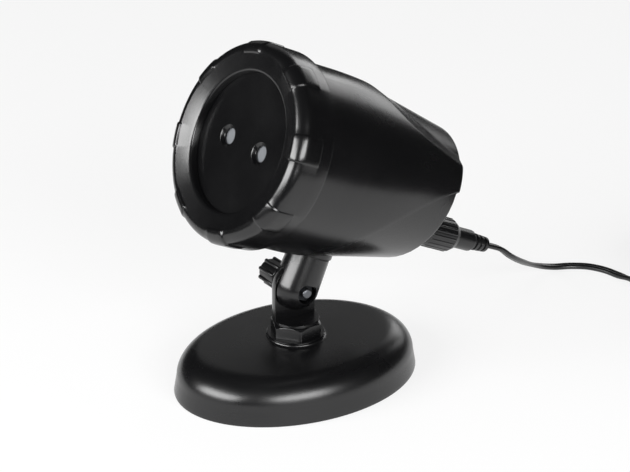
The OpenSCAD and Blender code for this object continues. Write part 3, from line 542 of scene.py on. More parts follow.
class ScrewSet(NodeGroup):
    """Four cross-recessed screws at the corners of a rectangle, with their heads down."""

    def __init__(self) -> None:
        """Builds the group."""
        sizes = ("Span X", "Span Y", "Head Radius", "Head Height", "Head Middle", "Shank Radius",
                 "Shank Length", "Shank Middle", "Slot Length", "Slot Width", "Slot Depth")
        inputs = dict.fromkeys(sizes, "NodeSocketFloat")
        super().__init__("screw_set", {**inputs, "Material": "NodeSocketMaterial"})
        tree, given = self.tree, self.given
        places = add_node(tree, "GeometryNodeMeshGrid", {
            "Size X": given["Span X"], "Size Y": given["Span Y"], "Vertices X": 2, "Vertices Y": 2})
        solids = []
        for sides, radius, length, middle in ((32, "Head Radius", "Head Height", "Head Middle"),
                                              (20, "Shank Radius", "Shank Length", "Shank Middle")):
            rod = add_node(tree, "GeometryNodeMeshCylinder", {
                "Vertices": sides, "Radius": given[radius], "Depth": given[length]})
            up = add_node(tree, "ShaderNodeCombineXYZ", {"Z": given[middle]})
            solids.append(add_node(tree, "GeometryNodeTransform", {
                "Geometry": rod.outputs["Mesh"], "Translation": up.outputs["Vector"]}).outputs["Geometry"])
        head, shank = solids
        cut = add_node(tree, "GeometryNodeMeshBoolean", {"Mesh 1": head}, operation="DIFFERENCE")
        for x, y in (("Slot Length", "Slot Width"), ("Slot Width", "Slot Length")):
            size = add_node(tree, "ShaderNodeCombineXYZ", {
                "X": given[x], "Y": given[y], "Z": given["Slot Depth"]})
            bar = add_node(tree, "GeometryNodeMeshCube", {"Size": size.outputs["Vector"]})
            tree.links.new(bar.outputs["Mesh"], cut.inputs["Mesh 2"])
        both = add_node(tree, "GeometryNodeJoinGeometry")
        for part in (cut.outputs["Mesh"], shank):
            tree.links.new(part, both.inputs["Geometry"])
        screws = add_node(tree, "GeometryNodeInstanceOnPoints", {
            "Points": places.outputs["Mesh"], "Instance": both.outputs["Geometry"]})
        self.end(screws.outputs["Instances"])


# Frames of the object


@dataclass(frozen=True)
class HeadFrame:
    """The tilted head's own frame.

    Attributes:
        pivot_h: height of the tilt pivot.
        axis_h: distance from the pivot to the head's axis.
        tilt: tilt of the axis above level, in degrees.
    """

    pivot_h: float = 57.0
    axis_h: float = 71.5
    tilt: float = 26.0

    def at(self, x: float, v: float, t: float) -> Vector:
        """Takes a point of the head's frame to the row frame.

        Args:
            x: distance to the side.
            v: distance up from the axis.
            t: distance forward along the axis.

        Returns:
            The point in the row frame.
        """
        sin, cos = math.sin(math.radians(self.tilt)), math.cos(math.radians(self.tilt))
        up, forward = Vector((0, sin, cos)), Vector((0, -cos, sin))
        return Vector((x, 0, self.pivot_h)) + up * (self.axis_h + v) + forward * t

    def below(self, drop: float) -> Place:
        """The place of a point about an axis that lies below the head's by a drop."""
        return lambda x, v, t: self.at(x, v - drop, t)

    def matrix(self, drop: float, t: float) -> Matrix:
        """A frame whose Z runs forward along an axis of the head, in metres.

        Args:
            drop: how far that axis lies below the head's.
            t: its origin along the axis.

        Returns:
            The frame's matrix.
        """
        origin = self.at(0, -drop, t)
        sides = [self.at(*step) - self.at(0, 0, 0) for step in ((1, 0, 0), (0, 1, 0), (0, 0, 1))]
        turn = Matrix([[side[i] for side in sides] for i in range(3)]).to_4x4()
        return Matrix.Translation(origin * MM) @ turn


# The object


@dataclass
class Base:
    """The oval foot: its shell, its weight and what closes it underneath.

    Attributes:
        width: width of the oval.
        length: length of the oval.
        wall_h: height of the upright wall.
        draft: inward lean of that wall.
        shoulder_r: radius of the shoulder.
        crown_h: rise of the crown.
        rim_z: height of the wall's lower edge.
        wall_t: thickness of the shell.
        pad_r: radius of the seat under the lock nut.
        pad_h: height of that seat.
        bore_r: radius of the hole for the post.
        segments: points round the oval.
        shoulder_steps: rows over the shoulder.
        crown_steps: rows over the crown.
    """

    width: float = 113.0
    length: float = 150.0
    wall_h: float = 10.0
    draft: float = 1.4
    shoulder_r: float = 15.0
    crown_h: float = 1.8
    rim_z: float = 0.4
    wall_t: float = 2.6
    pad_r: float = 16.4
    pad_h: float = 0.8
    bore_r: float = 9.05
    segments: int = 144
    shoulder_steps: int = 14
    crown_steps: int = 8

    @property
    def top(self) -> float:
        """Height of the crown."""
        return self.wall_h + self.shoulder_r + self.crown_h

    def crown(self) -> tuple[float, float]:
        """The crown's sphere, which meets the shoulder without a corner.

        Returns:
            Its radius, and the half width at which it meets the shoulder.
        """
        middle = self.width / 2 - self.draft - self.shoulder_r
        drop = self.wall_h - self.top
        radius = (self.shoulder_r**2 - middle**2 - drop**2) / (2 * (drop + self.shoulder_r))
        return radius, middle * radius / (radius - self.shoulder_r)

    def crown_z(self, half: float) -> float:
        """Height of the crown on the oval with a half width."""
        radius, _ = self.crown()
        return self.top - radius + math.sqrt(radius**2 - half**2)

    def oval(self, half: float, z: float, inset: float = 0.0) -> Row:
        """One oval row.

        Args:
            half: half its width.
            z: its height.
            inset: how far it is drawn in on every side.

        Returns:
            The row's points.
        """
        along = half * self.length / self.width
        return [Vector(((half - inset) * math.cos(a), (along - inset) * math.sin(a), z))
                for a in spread(0, 2 * math.pi, self.segments)]

    def circle(self, radius: float, z: float | None) -> Row:
        """One round row, laid on the crown where no height is given.

        Args:
            radius: its radius.
            z: its height.

        Returns:
            The row's points.
        """
        stretch = self.length / self.width
        row = ring_row(lambda x, y, height: Vector((x, y, height)), radius, z or 0.0, self.segments)
        if z is None:
            for point in row:
                point.z = self.crown_z(math.hypot(point.x, point.y / stretch))
        return row

    def shell(self) -> bpy.types.Object:
        """The moulded cover, with its shoulder, crown and seat.

        Returns:
            The new piece.
        """
        half, top_half = self.width / 2, self.width / 2 - self.draft
        lean = self.draft / self.wall_h
        edge, seat_gap = 0.6, 5.0
        rows = [self.oval(half - 2 * edge, self.rim_z), self.oval(half - edge, self.rim_z),
                self.oval(half - 0.3 * edge - lean * self.rim_z, self.rim_z + 0.3 * edge),
                self.oval(half - lean * (self.rim_z + edge), self.rim_z + edge)]
        rows += [self.oval(half - lean * z, z) for z in (3.0, 6.0, 8.5)]
        middle = top_half - self.shoulder_r
        _, blend = self.crown()
        last = math.acos(min(1.0, (blend - middle) / self.shoulder_r))
        turns = spread(0, last, self.shoulder_steps) + [last]
        rows += [self.oval(middle + self.shoulder_r * math.cos(a),
                           self.wall_h + self.shoulder_r * math.sin(a)) for a in turns]
        inner = self.pad_r + seat_gap
        rows += [self.oval(near, self.crown_z(near))
                 for near in (spread(blend, inner, self.crown_steps) + [inner])[1:]]
        rows += [self.circle(self.pad_r + 2.5, None), self.circle(self.pad_r + 0.7, None)]
        pad_z = self.top + self.pad_h
        rows += [self.circle(self.pad_r + 0.15, self.top + 0.1), self.circle(self.pad_r, self.top + 0.3),
                 self.circle(self.pad_r - 0.1, pad_z - 0.2), self.circle(self.pad_r - 0.4, pad_z),
                 self.circle(self.bore_r + 0.5, pad_z), self.circle(self.bore_r, pad_z - 0.4),
                 self.circle(self.bore_r, self.top - self.wall_t)]
        rows += [self.oval(inner, self.crown_z(inner) - self.wall_t),
                 self.oval(blend, self.crown_z(blend) - self.wall_t)]
        rows += [self.oval(middle + self.shoulder_r * math.cos(a),
                           self.wall_h + (self.shoulder_r - self.wall_t) * math.sin(a), self.wall_t)
                 for a in turns[::-2]]
        rows.append(self.oval(half - lean * self.rim_z, self.rim_z, self.wall_t))
        return grid_piece("base_shell", rows, ring=True)

    def screws(self) -> bpy.types.Object:
        """The four screws that hold the plate.

        Returns:
            The new piece.
        """
        low, high = box_of("base_screws")
        head_r, head_h, shank_r, shank_l = 2.8, 0.9, 1.4, high.z - low.z
        sizes = {"Span X": high.x - low.x - 2 * head_r, "Span Y": high.y - low.y - 2 * head_r,
                 "Head Radius": head_r, "Head Height": head_h, "Head Middle": head_h / 2,
                 "Shank Radius": shank_r, "Shank Length": shank_l, "Shank Middle": shank_l / 2,
                 "Slot Length": 1.15 * head_r, "Slot Width": 0.26 * head_r, "Slot Depth": 1.1 * head_h}
        values = {title: size * MM for title, size in sizes.items()}
        values["Material"] = Finishes.STEEL.value.material()
        return ScrewSet().piece("base_screw_set", values, Matrix.Translation((0, 0, low.z * MM)))

    def build(self) -> None:
        """Makes and dresses the foot."""
        settle(self.shell(), "base", Finishes.BASE, "base_cover")
        settle(self.screws(), "base", Finishes.STEEL, "base_screws")
        dress(Finishes.RUBBER, "foot_pad")
        dress(Finishes.INNER, "base_plate")
        dress(Finishes.WEIGHT, "base_weight")
        dress(Finishes.STEEL, "post_washer", "post_screw")


@dataclass
class TiltJoint:
    """Lock nut, post, knob, bolt and neck.

    Attributes:
        head: the head's frame.
        nut_af: distance across the lock nut's flats.
        nut_turn: direction of one of its corners, in degrees.
        nut_z: height of its lower face.
        nut_h: its height.
        flange_h: height of its flange.
        flange_out: reach of its flange beyond its corners.
        bore_r: radius of its hole.
        knob_x: place of the knob's inner end.
        knob_l: length of the knob.
        knob_r: radius of the knob between its ribs.
        rib_r: radius of those ribs.
        rib_count: how many there are.
        stud_r: radius of the knob's hole.
        stud_l: depth of that hole.
    """

    head: HeadFrame
    nut_af: float = 26.5
    nut_turn: float = 37.5
    nut_z: float = 27.9
    nut_h: float = 8.6
    flange_h: float = 1.2
    flange_out: float = 1.4
    bore_r: float = 9.05
    knob_x: float = -13.0
    knob_l: float = 15.6
    knob_r: float = 7.4
    rib_r: float = 1.3
    rib_count: int = 8
    stud_r: float = 3.05
    stud_l: float = 11.3

    def lock_nut(self) -> bpy.types.Object:
        """The hexagonal nut, with its flange and chamfered top.

        Returns:
            The new piece.
        """
        flat = self.nut_af / 2
        corner = flat / math.cos(math.radians(30))
        flange = corner + self.flange_out
        chamfer_r, slope = flat - 0.2, math.tan(math.radians(30))
        # Directions across one flat, in degrees, and where the rounded corner starts
        steps, corner_from = (-30, -29, -27.5, -25, -18, -9, 0, 9, 18, 25, 27.5, 29), 28.6
        sections = []
        for turn in (60 * side + 30 + step for side in range(6) for step in steps):
            near = min(abs(turn % 60 - 30), corner_from)
            hexagon = flat / math.cos(math.radians(near))
            rim_z = self.nut_h - (hexagon - chamfer_r) * slope
            outline = [(self.bore_r, 0), (flange - 0.4, 0), (flange, 0.3), (flange, self.flange_h - 0.3),
                       (flange - 0.3, self.flange_h), (hexagon + 0.05, self.flange_h + 0.05),
                       (hexagon, self.flange_h + 0.4), (hexagon, rim_z - 0.35), (hexagon - 0.1, rim_z - 0.04),
                       ((hexagon + chamfer_r) / 2, (rim_z + self.nut_h) / 2 - 0.02),
                       (chamfer_r - 0.1, self.nut_h - 0.02), (chamfer_r - 0.5, self.nut_h),
                       (self.bore_r, self.nut_h)]
            a = math.radians(self.nut_turn + turn)
            sections.append([Vector((r * math.cos(a), r * math.sin(a), self.nut_z + z)) for r, z in outline])
        return grid_piece("lock_nut_form", [list(row) for row in zip(*sections)], ring=True, sharp=32)

    def on_pivot(self, across: float, along: float, x: float) -> Vector:
        """Takes a point about the pivot's cross axis to the row frame."""
        return Vector((x, across, self.head.pivot_h + along))

    def knob(self) -> bpy.types.Object:
        """The thumb knob's body.

        Returns:
            The new piece.
        """
        end, stud_x = self.knob_x - self.knob_l, self.knob_x - self.stud_l
        outline = rounded([
            (0, end, 0), (self.knob_r - 0.5, end, 2.8), (self.knob_r, self.knob_x, 0.6),
            (self.stud_r, self.knob_x, 0.2), (self.stud_r, stud_x, 0), (0, stud_x, 0)], steps=6)
        return lathe("knob_body", outline, self.on_pivot, 48)

    def knob_ribs(self) -> bpy.types.Object:
        """The ribs round the knob.

        Returns:
            The new piece.
        """
        end_gap = 1.2
        half = (self.knob_l - end_gap) / 2 - self.rib_r
        middle = Vector((self.knob_x - self.rib_r - half, 0, self.head.pivot_h)) * MM
        turn = Matrix.Rotation(math.radians(-self.head.tilt), 4, "X") @ Matrix.Rotation(math.pi / 2, 4, "Y")
        values = {"Count": self.rib_count, "Ring Radius": (self.knob_r - 0.3) * MM,
                  "Rib Radius": self.rib_r * MM, "Half Length": half * MM,
                  "Material": Finishes.KNOB.value.material()}
        return RibRing().piece("knob_grip", values, Matrix.Translation(middle) @ turn)

    def build(self) -> None:
        """Makes and dresses the joint."""
        settle(self.lock_nut(), "lock_ring", Finishes.NUT, "lock_nut")
        settle(eased_copy("post", "post_form", 0.5), "base", Finishes.NECK, "post")
        settle(eased_copy("neck_tube", "neck_form", 0.5), "head", Finishes.NECK, "neck_tube")
        settle(self.knob(), "knob", Finishes.KNOB, "tilt_knob")
        settle(self.knob_ribs(), "knob", Finishes.KNOB)
        settle(eased_copy("tilt_bolt", "bolt_form", 0.25), "knob", Finishes.BOLT, "tilt_bolt")
        dress(Finishes.INNER, "friction_washer")
        dress(Finishes.STEEL, "knob_washer", "neck_screws")
        dress(Finishes.BLACKED, "tilt_nut")
        dress(Finishes.RUBBER, "neck_gasket")


@dataclass
class Housing:
    """The head's shell: a tapered core with two side wings that are cut over the top and underneath.

    Attributes:
        head: the head's frame.
        wing_r: radius behind the bezel.
        bend_t: place where the wings start to taper.
        wing_taper: taper of the wings, in degrees.
        bend_r: radius of the bend into that taper.
        core_r: radius of the core at its front.
        core_t: place where the core starts to taper.
        core_taper: taper of the core, in degrees.
        seam_t: place of the seam behind the bezel.
        rear_t: place of the rear face on the axis.
        rear_slant: slant of the rear face, in degrees.
        wall_t: thickness of the shell.
        spigot_r: radius of the spigot inside the bezel.
        spigot_t: place of the spigot's end.
        bore_r: radius of the hollow behind it.
        top_r: radius of the cut over the wings.
        top_slope: slope of that cut, in degrees.
        top_at: (t, v) of a point on its top line.
        low_r: radius of the cut under the wings.
        low_at: (t, v) of that cut's middle.
        inlet_drop: depth of the inlet below the axis.
        seat_r: radius of the inlet's seat.
        thread_r: radius of the inlet's hole.
        neck_v: height of the flat on which the neck sits.
        neck_pad_r: radius of that flat.
        edge: half the width of the wings' rounded edges.
        rear_round: radius of the rear edge.
        crease_from: direction from which columns follow the wings' upper edge, in radians.
        columns: points across each stretch of half a row.
    """

    head: HeadFrame
    wing_r: float = 53.0
    bend_t: float = 5.0
    wing_taper: float = 10.2
    bend_r: float = 300.0
    core_r: float = 52.5
    core_t: float = 20.0
    core_taper: float = 9.4
    seam_t: float = 56.0
    rear_t: float = -52.0
    rear_slant: float = 9.0
    wall_t: float = 2.6
    spigot_r: float = 51.1
    spigot_t: float = 68.05
    bore_r: float = 48.5
    top_r: float = 69.0
    top_slope: float = 15.6
    top_at: tuple[float, float] = (3.0, 51.0)
    low_r: float = 129.0
    low_at: tuple[float, float] = (-93.0, -110.0)
    inlet_drop: float = 20.5
    seat_r: float = 12.15
    thread_r: float = 8.15
    neck_v: float = -50.0
    neck_pad_r: float = 13.2
    edge: float = 0.9
    rear_round: float = 2.0
    crease_from: float = 0.3
    columns: tuple[int, int, int, int] = (10, 8, 16, 14)

    def wing(self, t: float) -> float:
        """Radius of the wings at a place along the axis.

        Args:
            t: the place.

        Returns:
            The radius.
        """
        slope = math.radians(self.wing_taper)
        reach = self.bend_r * math.tan(slope / 2)
        if t >= self.bend_t + reach:
            return self.wing_r
        if t <= self.bend_t - reach * math.cos(slope):
            return self.wing_r - (self.bend_t - t) * math.tan(slope)
        back = self.bend_t + reach - t
        return self.wing_r - self.bend_r + math.sqrt(self.bend_r**2 - back**2)

    def core(self, t: float) -> float:
        """Radius of the core at a place along the axis."""
        return self.core_r - max(0.0, self.core_t - t) * math.tan(math.radians(self.core_taper))

    def top_cut(self, t: float, turn: float) -> float:
        """Distance from the axis to the cut over the wings.

        Args:
            t: place along the axis.
            turn: direction from straight up.

        Returns:
            The distance.
        """
        slope = math.radians(self.top_slope)
        middle_v = self.top_at[1] - self.top_r * math.cos(slope)
        middle_t = self.top_at[0] + self.top_r * math.sin(slope)
        offset = middle_v * math.cos(slope) + (t - middle_t) * math.sin(slope)
        a = math.sin(turn) ** 2 + (math.cos(turn) * math.cos(slope)) ** 2
        b = math.cos(turn) * math.cos(slope) * offset
        return (b + math.sqrt(b * b - a * (offset**2 - self.top_r**2))) / a

    def low_v(self, t: float) -> float:
        """Height below which there is no wing, at a place along the axis."""
        under = self.low_r**2 - (t - self.low_at[0]) ** 2
        return self.low_at[1] + math.sqrt(under) if under > 0 else -2 * self.wing_r

    def upper_turn(self, t: float, radius: float) -> float:
        """Direction in which the cut over the wings reaches a radius.

        Args:
            t: place along the axis.
            radius: the radius.

        Returns:
            The direction, or 0 where the cut lies outside it.
        """
        if self.top_cut(t, 0.0) >= radius:
            return 0.0
        low, high = 0.0, math.pi / 2
        for _ in range(30):
            middle = (low + high) / 2
            low, high = (middle, high) if self.top_cut(t, middle) < radius else (low, middle)
        return high

    def lower_turn(self, t: float, radius: float) -> float:
        """Direction, at most half a turn, in which the cut under the wings reaches a radius."""
        return math.acos(max(-1.0, min(1.0, self.low_v(t) / radius)))

    def upper(self, t: float, turn: float) -> float:
        """Radius of the core or the wing, whichever the cut over the wings leaves in a direction."""
        return max(self.core(t), min(self.wing(t), self.top_cut(t, turn)))

    def half_row(self, t: float) -> list[tuple[float, float]]:
        """(direction, radius) of half a row, from the top down one side.

        Args:
            t: place along the axis.

        Returns:
            The row's points; each has the same part in every row.
        """
        wing, core = self.wing(t), self.core(t)
        slack = self.edge / wing
        valley = max(self.upper_turn(t, core), self.crease_from)
        ridge = max(self.upper_turn(t, wing), valley + 2.5 * slack)
        low_wing = min(self.lower_turn(t, wing), math.pi - 3.5 * slack)
        low_core = min(max(self.lower_turn(t, core), low_wing + 0.5 * slack), math.pi - 2 * slack)
        gone = self.lower_turn(t, wing) >= low_wing + 1e-6
        under = wing if gone else core
        first, second, third, fourth = self.columns
        before, after, low_from = ridge - slack, ridge + slack, low_wing - slack
        row = [(a, self.upper(t, a))
               for a in spread(0, valley, first) + spread(valley, before, second) + [before]]
        row.append((ridge, (self.upper(t, before) + self.upper(t, after) + 2 * self.upper(t, ridge)) / 4))
        row += [(a, self.upper(t, a)) for a in spread(after, low_from, third) + [low_from]]
        row += [(low_wing - 0.25 * slack, wing if gone else wing - 0.08),
                (low_wing + 0.1 * (low_core - low_wing), wing - (0 if gone else 0.1 * (wing - core) + 0.1))]
        return row + [(a, under) for a in spread(low_core, math.pi, fourth) + [math.pi]]

    def skin_point(self, index: int, t_row: float, slant: float) -> Triple:
        """A point of the outside, where rows lean over toward the slanted rear.

        Args:
            index: the column.
            t_row: the row's place on the axis.
            slant: how far the row leans, from 0 to 1.

        Returns:
            Its direction, radius and place along the axis.
        """
        t = t_row
        for _ in range(4 if slant > 0 else 1):
            turn, radius = self.half_row(t)[index]
            t = t_row - slant * math.tan(math.radians(self.rear_slant)) * radius * math.cos(turn)
        return turn, radius, t

    def mirrored(self, half: Sequence[Triple]) -> Row:
        """A whole row from (x, v, t) of each point of its half, with x from 0 up and back to 0."""
        whole = list(half) + [(-x, v, t) for x, v, t in reversed(half[1:-1])]
        return [self.head.at(*point) for point in whole]

    def drawn_in(self, skin: Sequence[Triple], inset: float, back: float = 0.0) -> Row:
        """A whole row from skin points of its half, drawn in toward the axis and moved back."""
        return self.mirrored([((radius - inset) * math.sin(turn), (radius - inset) * math.cos(turn), t - back)
                              for turn, radius, t in skin])

    def rear_plane(self, v: float) -> float:
        """Place along the axis of the rear face at a height."""
        return self.rear_t - math.tan(math.radians(self.rear_slant)) * v

    def outside(self) -> list[Row]:
        """Rows from the seam to the rounded rear edge.

        Returns:
            The rows.
        """
        count = len(self.half_row(0.0))
        seam_edge, front_from, lean_from, lean_rows = 0.3, 52.0, 24.0, 36
        rear_edge = self.rear_t + self.rear_round
        places = [self.seam_t, self.seam_t - seam_edge, *(front_from - 3 * k for k in range(9)),
                  *spread(lean_from, rear_edge, lean_rows), rear_edge]
        rows = []
        for t_row in places:
            lean = max(0.0, (lean_from - t_row) / (lean_from - rear_edge))
            inset = seam_edge if t_row == self.seam_t else 0.0
            skin = [self.skin_point(i, t_row, lean) for i in range(count)]
            rows.append(self.drawn_in(skin, inset))
        return rows

    def rear(self) -> list[Row]:
        """Rows round the rear edge, over the rear face and into the inlet's seat.

        Returns:
            The rows.
        """
        count = len(self.half_row(0.0))
        rim = [self.skin_point(i, self.rear_t + self.rear_round, 1.0) for i in range(count)]
        rows = []
        for k in range(1, 5):
            a = math.pi / 2 * k / 4
            drawn, back = self.rear_round * (1 - math.cos(a)), self.rear_round * math.sin(a)
            rows.append(self.drawn_in(rim, drawn, back))
        inner = [(turn, radius - self.rear_round) for turn, radius, _ in rim]
        for share in (0.2, 0.5, 0.8, 1.0):
            half = []
            for i, (turn, radius) in enumerate(inner):
                even = math.pi * i / (count - 1)
                x = (1 - share) * radius * math.sin(turn) + share * self.seat_r * math.sin(even)
                v = ((1 - share) * radius * math.cos(turn)
                     + share * (self.seat_r * math.cos(even) - self.inlet_drop))
                half.append((x, v, self.rear_plane(v)))
            rows.append(self.mirrored(half))
        face_t, seat_depth, hole_depth = self.rear_plane(-self.inlet_drop), 1.6, 6.0
        return rows + [self.round_row(r, face_t + depth, self.inlet_drop) for r, depth in (
            (self.seat_r, seat_depth), (self.thread_r, seat_depth), (self.thread_r, hole_depth))]

    def round_row(self, radius: float, t: float, drop: float = 0.0) -> Row:
        """A round row about the axis, or about one that lies below it by a drop."""
        turns = spread(0, math.pi, len(self.half_row(0.0)) - 1) + [math.pi]
        return self.mirrored([(radius * math.sin(a), radius * math.cos(a) - drop, t) for a in turns])

    def inside(self) -> list[Row]:
        """Rows along the inner wall and over the spigot, back to the seam.

        Returns:
            The rows.
        """
        rows = [self.round_row(self.core(t) - self.wall_t, t)
                for t in (self.rear_t + 12, -20.0, 0.0, self.core_t)]
        return rows + [self.round_row(r, t) for r, t in (
            (self.bore_r, self.core_t + 20), (self.bore_r, self.spigot_t), (self.spigot_r, self.spigot_t),
            (self.spigot_r, self.seam_t))]

    def shell(self) -> bpy.types.Object:
        """The shell, with the flat for the neck cut into it.

        Returns:
            The new piece.
        """
        piece = grid_piece("housing_form", self.outside() + self.rear() + self.inside(), ring=True, sharp=30)
        depth = 8.0
        tool = lathe("neck_flat_tool", [(0, self.neck_v - depth), (self.neck_pad_r, self.neck_v - depth),
                                        (self.neck_pad_r, self.neck_v), (0, self.neck_v)],
                     lambda x, t, v: self.head.at(x, v, t), 64)
        cut = piece.modifiers.new("neck_flat", "BOOLEAN")
        cut.operation, cut.solver, cut.object = "DIFFERENCE", "EXACT", tool
        mesh = evaluated(piece)
        bpy.data.objects.remove(piece)
        bpy.data.objects.remove(tool)
        return finish_mesh("housing_form", mesh, 30)

    def neck_boss(self) -> bpy.types.Object:
        """The flat-ended boss on which the neck sits.

        Returns:
            The new piece.
        """
        top = self.neck_v + 4.0
        outline = rounded([(0, self.neck_v, 0), (self.neck_pad_r, self.neck_v, 0.3),
                           (self.neck_pad_r, top, 0), (0, top, 0)])
        return lathe("neck_boss", outline, lambda x, t, v: self.head.at(x, v, t), 72)

    def build(self) -> None:
        """Makes and dresses the shell."""
        settle(self.shell(), "head", Finishes.HEAD, "housing")
        settle(self.neck_boss(), "head", Finishes.HEAD)


@dataclass
class Front:
    """The bezel with its raised lugs, and the plate, windows and works behind it.

    Attributes:
        head: the head's frame.
        rear_t: place of the bezel's rear edge.
        front_t: place of its front.
        outer_r: its radius.
        corner_r: radius of its rounded front edge.
        open_r: radius of its opening.
        lip_w: width of the opening's rounded lip.
        lip_drop: depth of that lip behind the front.
        bore_r: radius of its bore.
        ledge_t: place of the ledge that holds the plate.
        lug_count: number of lugs.
        lug_angle: width of a lug, in degrees.
        lug_turn: direction of the first lug from level, in degrees.
        lug_h: height of the lugs.
        lug_l: length of the lugs along the side.
    """

    head: HeadFrame
    rear_t: float = 56.3
    front_t: float = 80.0
    outer_r: float = 56.6
    corner_r: float = 6.5
    open_r: float = 39.6
    lip_w: float = 1.0
    lip_drop: float = 2.2
    bore_r: float = 51.25
    ledge_t: float = 72.85
    lug_count: int = 8
    lug_angle: float = 15.0
    lug_turn: float = 15.0
    lug_h: float = 0.7
    lug_l: float = 9.0

    def turns(self) -> list[tuple[float, float]]:
        """Directions round the bezel, close together at the lugs' sides.

        Returns:
            Each direction, and the share of the lugs' height there.
        """
        half, pitch, foot = self.lug_angle / 2, 360 / self.lug_count, 0.75
        rise = ((-foot, 0.0), (-0.35, 0.12), (0.2, 0.85), (0.6, 1.0))
        found = []
        for lug in range(self.lug_count):
            middle = self.lug_turn + pitch * lug
            found += [(middle - half + step, share) for step, share in rise]
            found += [(middle + step * half, 1.0) for step in (-0.6, -0.2, 0.2, 0.6)]
            found += [(middle + half - step, share) for step, share in reversed(rise)]
            between = spread(middle + half + foot, middle + pitch - half - foot, 7)[1:]
            found += [(turn, 0.0) for turn in between]
        return [(math.radians(angle), share) for angle, share in found]

    def cone_t(self, radius: float) -> float:
        """Place along the axis of the shallow cone between the lip and the rounded edge, at a radius."""
        outer, inner = self.outer_r - self.corner_r, self.open_r + self.lip_w
        return self.front_t - self.lip_drop * (outer - radius) / (outer - inner)

    def section(self) -> list[tuple[float, float, float, float]]:
        """The bezel's outline, with the way in which a lug raises it.

        Returns:
            (radius, along, radial rise, rise along) of each point.
        """
        middle_r, middle_t = self.outer_r - self.corner_r, self.front_t - self.corner_r
        lug_from = middle_t - self.lug_l
        rear_fillet = ((0.9, 0), (0.45, 0.12), (0.12, 0.45), (0, 0.9))
        lug_rise = ((-0.5, 0), (-0.2, 0.1), (0.25, 0.85), (0.7, 1), (self.lug_l / 2, 1))
        points = [(self.bore_r + 0.3, self.rear_t, 0, 0)]
        points += [(self.outer_r - inset, self.rear_t + step, 0, 0) for inset, step in rear_fillet]
        points += [(self.outer_r, lug_from + step, share, 0) for step, share in lug_rise]
        for k in range(9):
            a = math.pi / 2 * k / 8
            points.append((middle_r + self.corner_r * math.cos(a), middle_t + self.corner_r * math.sin(a),
                           math.cos(a), math.sin(a)))
        lip_r, lip_t = self.open_r + self.lip_w, self.front_t - self.lip_drop
        points += [(r, self.cone_t(r), 0, share) for r, share in (
            (middle_r - 0.4, 0.85), (middle_r - 0.9, 0.1), (middle_r - 1.3, 0), (lip_r + 1.0, 0))]
        inner = ((lip_r, lip_t - 0.08), (lip_r - 0.7, lip_t - 0.5), (self.open_r, lip_t - 1.2),
                 (self.open_r, self.ledge_t), (self.bore_r, self.ledge_t), (self.bore_r, self.rear_t + 0.3))
        return points + [(r, along, 0, 0) for r, along in inner]

    def bezel(self) -> bpy.types.Object:
        """The moulded ring, with its lugs.

        Returns:
            The new piece.
        """
        rows = []
        for radius, along, out, ahead in self.section():
            row = []
            for turn, share in self.turns():
                rise = share * self.lug_h
                r = radius + rise * out
                row.append(self.head.at(r * math.cos(turn), r * math.sin(turn), along + rise * ahead))
            rows.append(row)
        return grid_piece("bezel_form", rows, ring=True, sharp=45)

    def build(self) -> None:
        """Makes and dresses the front."""
        settle(self.bezel(), "head", Finishes.BEZEL, "front_bezel")
        settle(eased_copy("front_plate", "plate_form", 0.35), "head", Finishes.PLATE, "front_plate")
        dress(Finishes.WINDOW, "window_left", "window_right")
        dress(Finishes.RUBBER, "bezel_seal")
        dress(Finishes.ALLOY, "module_carrier")
        dress(Finishes.STEEL, "carrier_screws", "board_screws")
        dress(Finishes.BRASS, "module_green", "module_red", "board_spacers")
        dress(Finishes.BOARD, "driver_board")
        dress(Finishes.INNER, "board_parts")
        dress(Finishes.WIRE, "module_leads", "feed_wires")


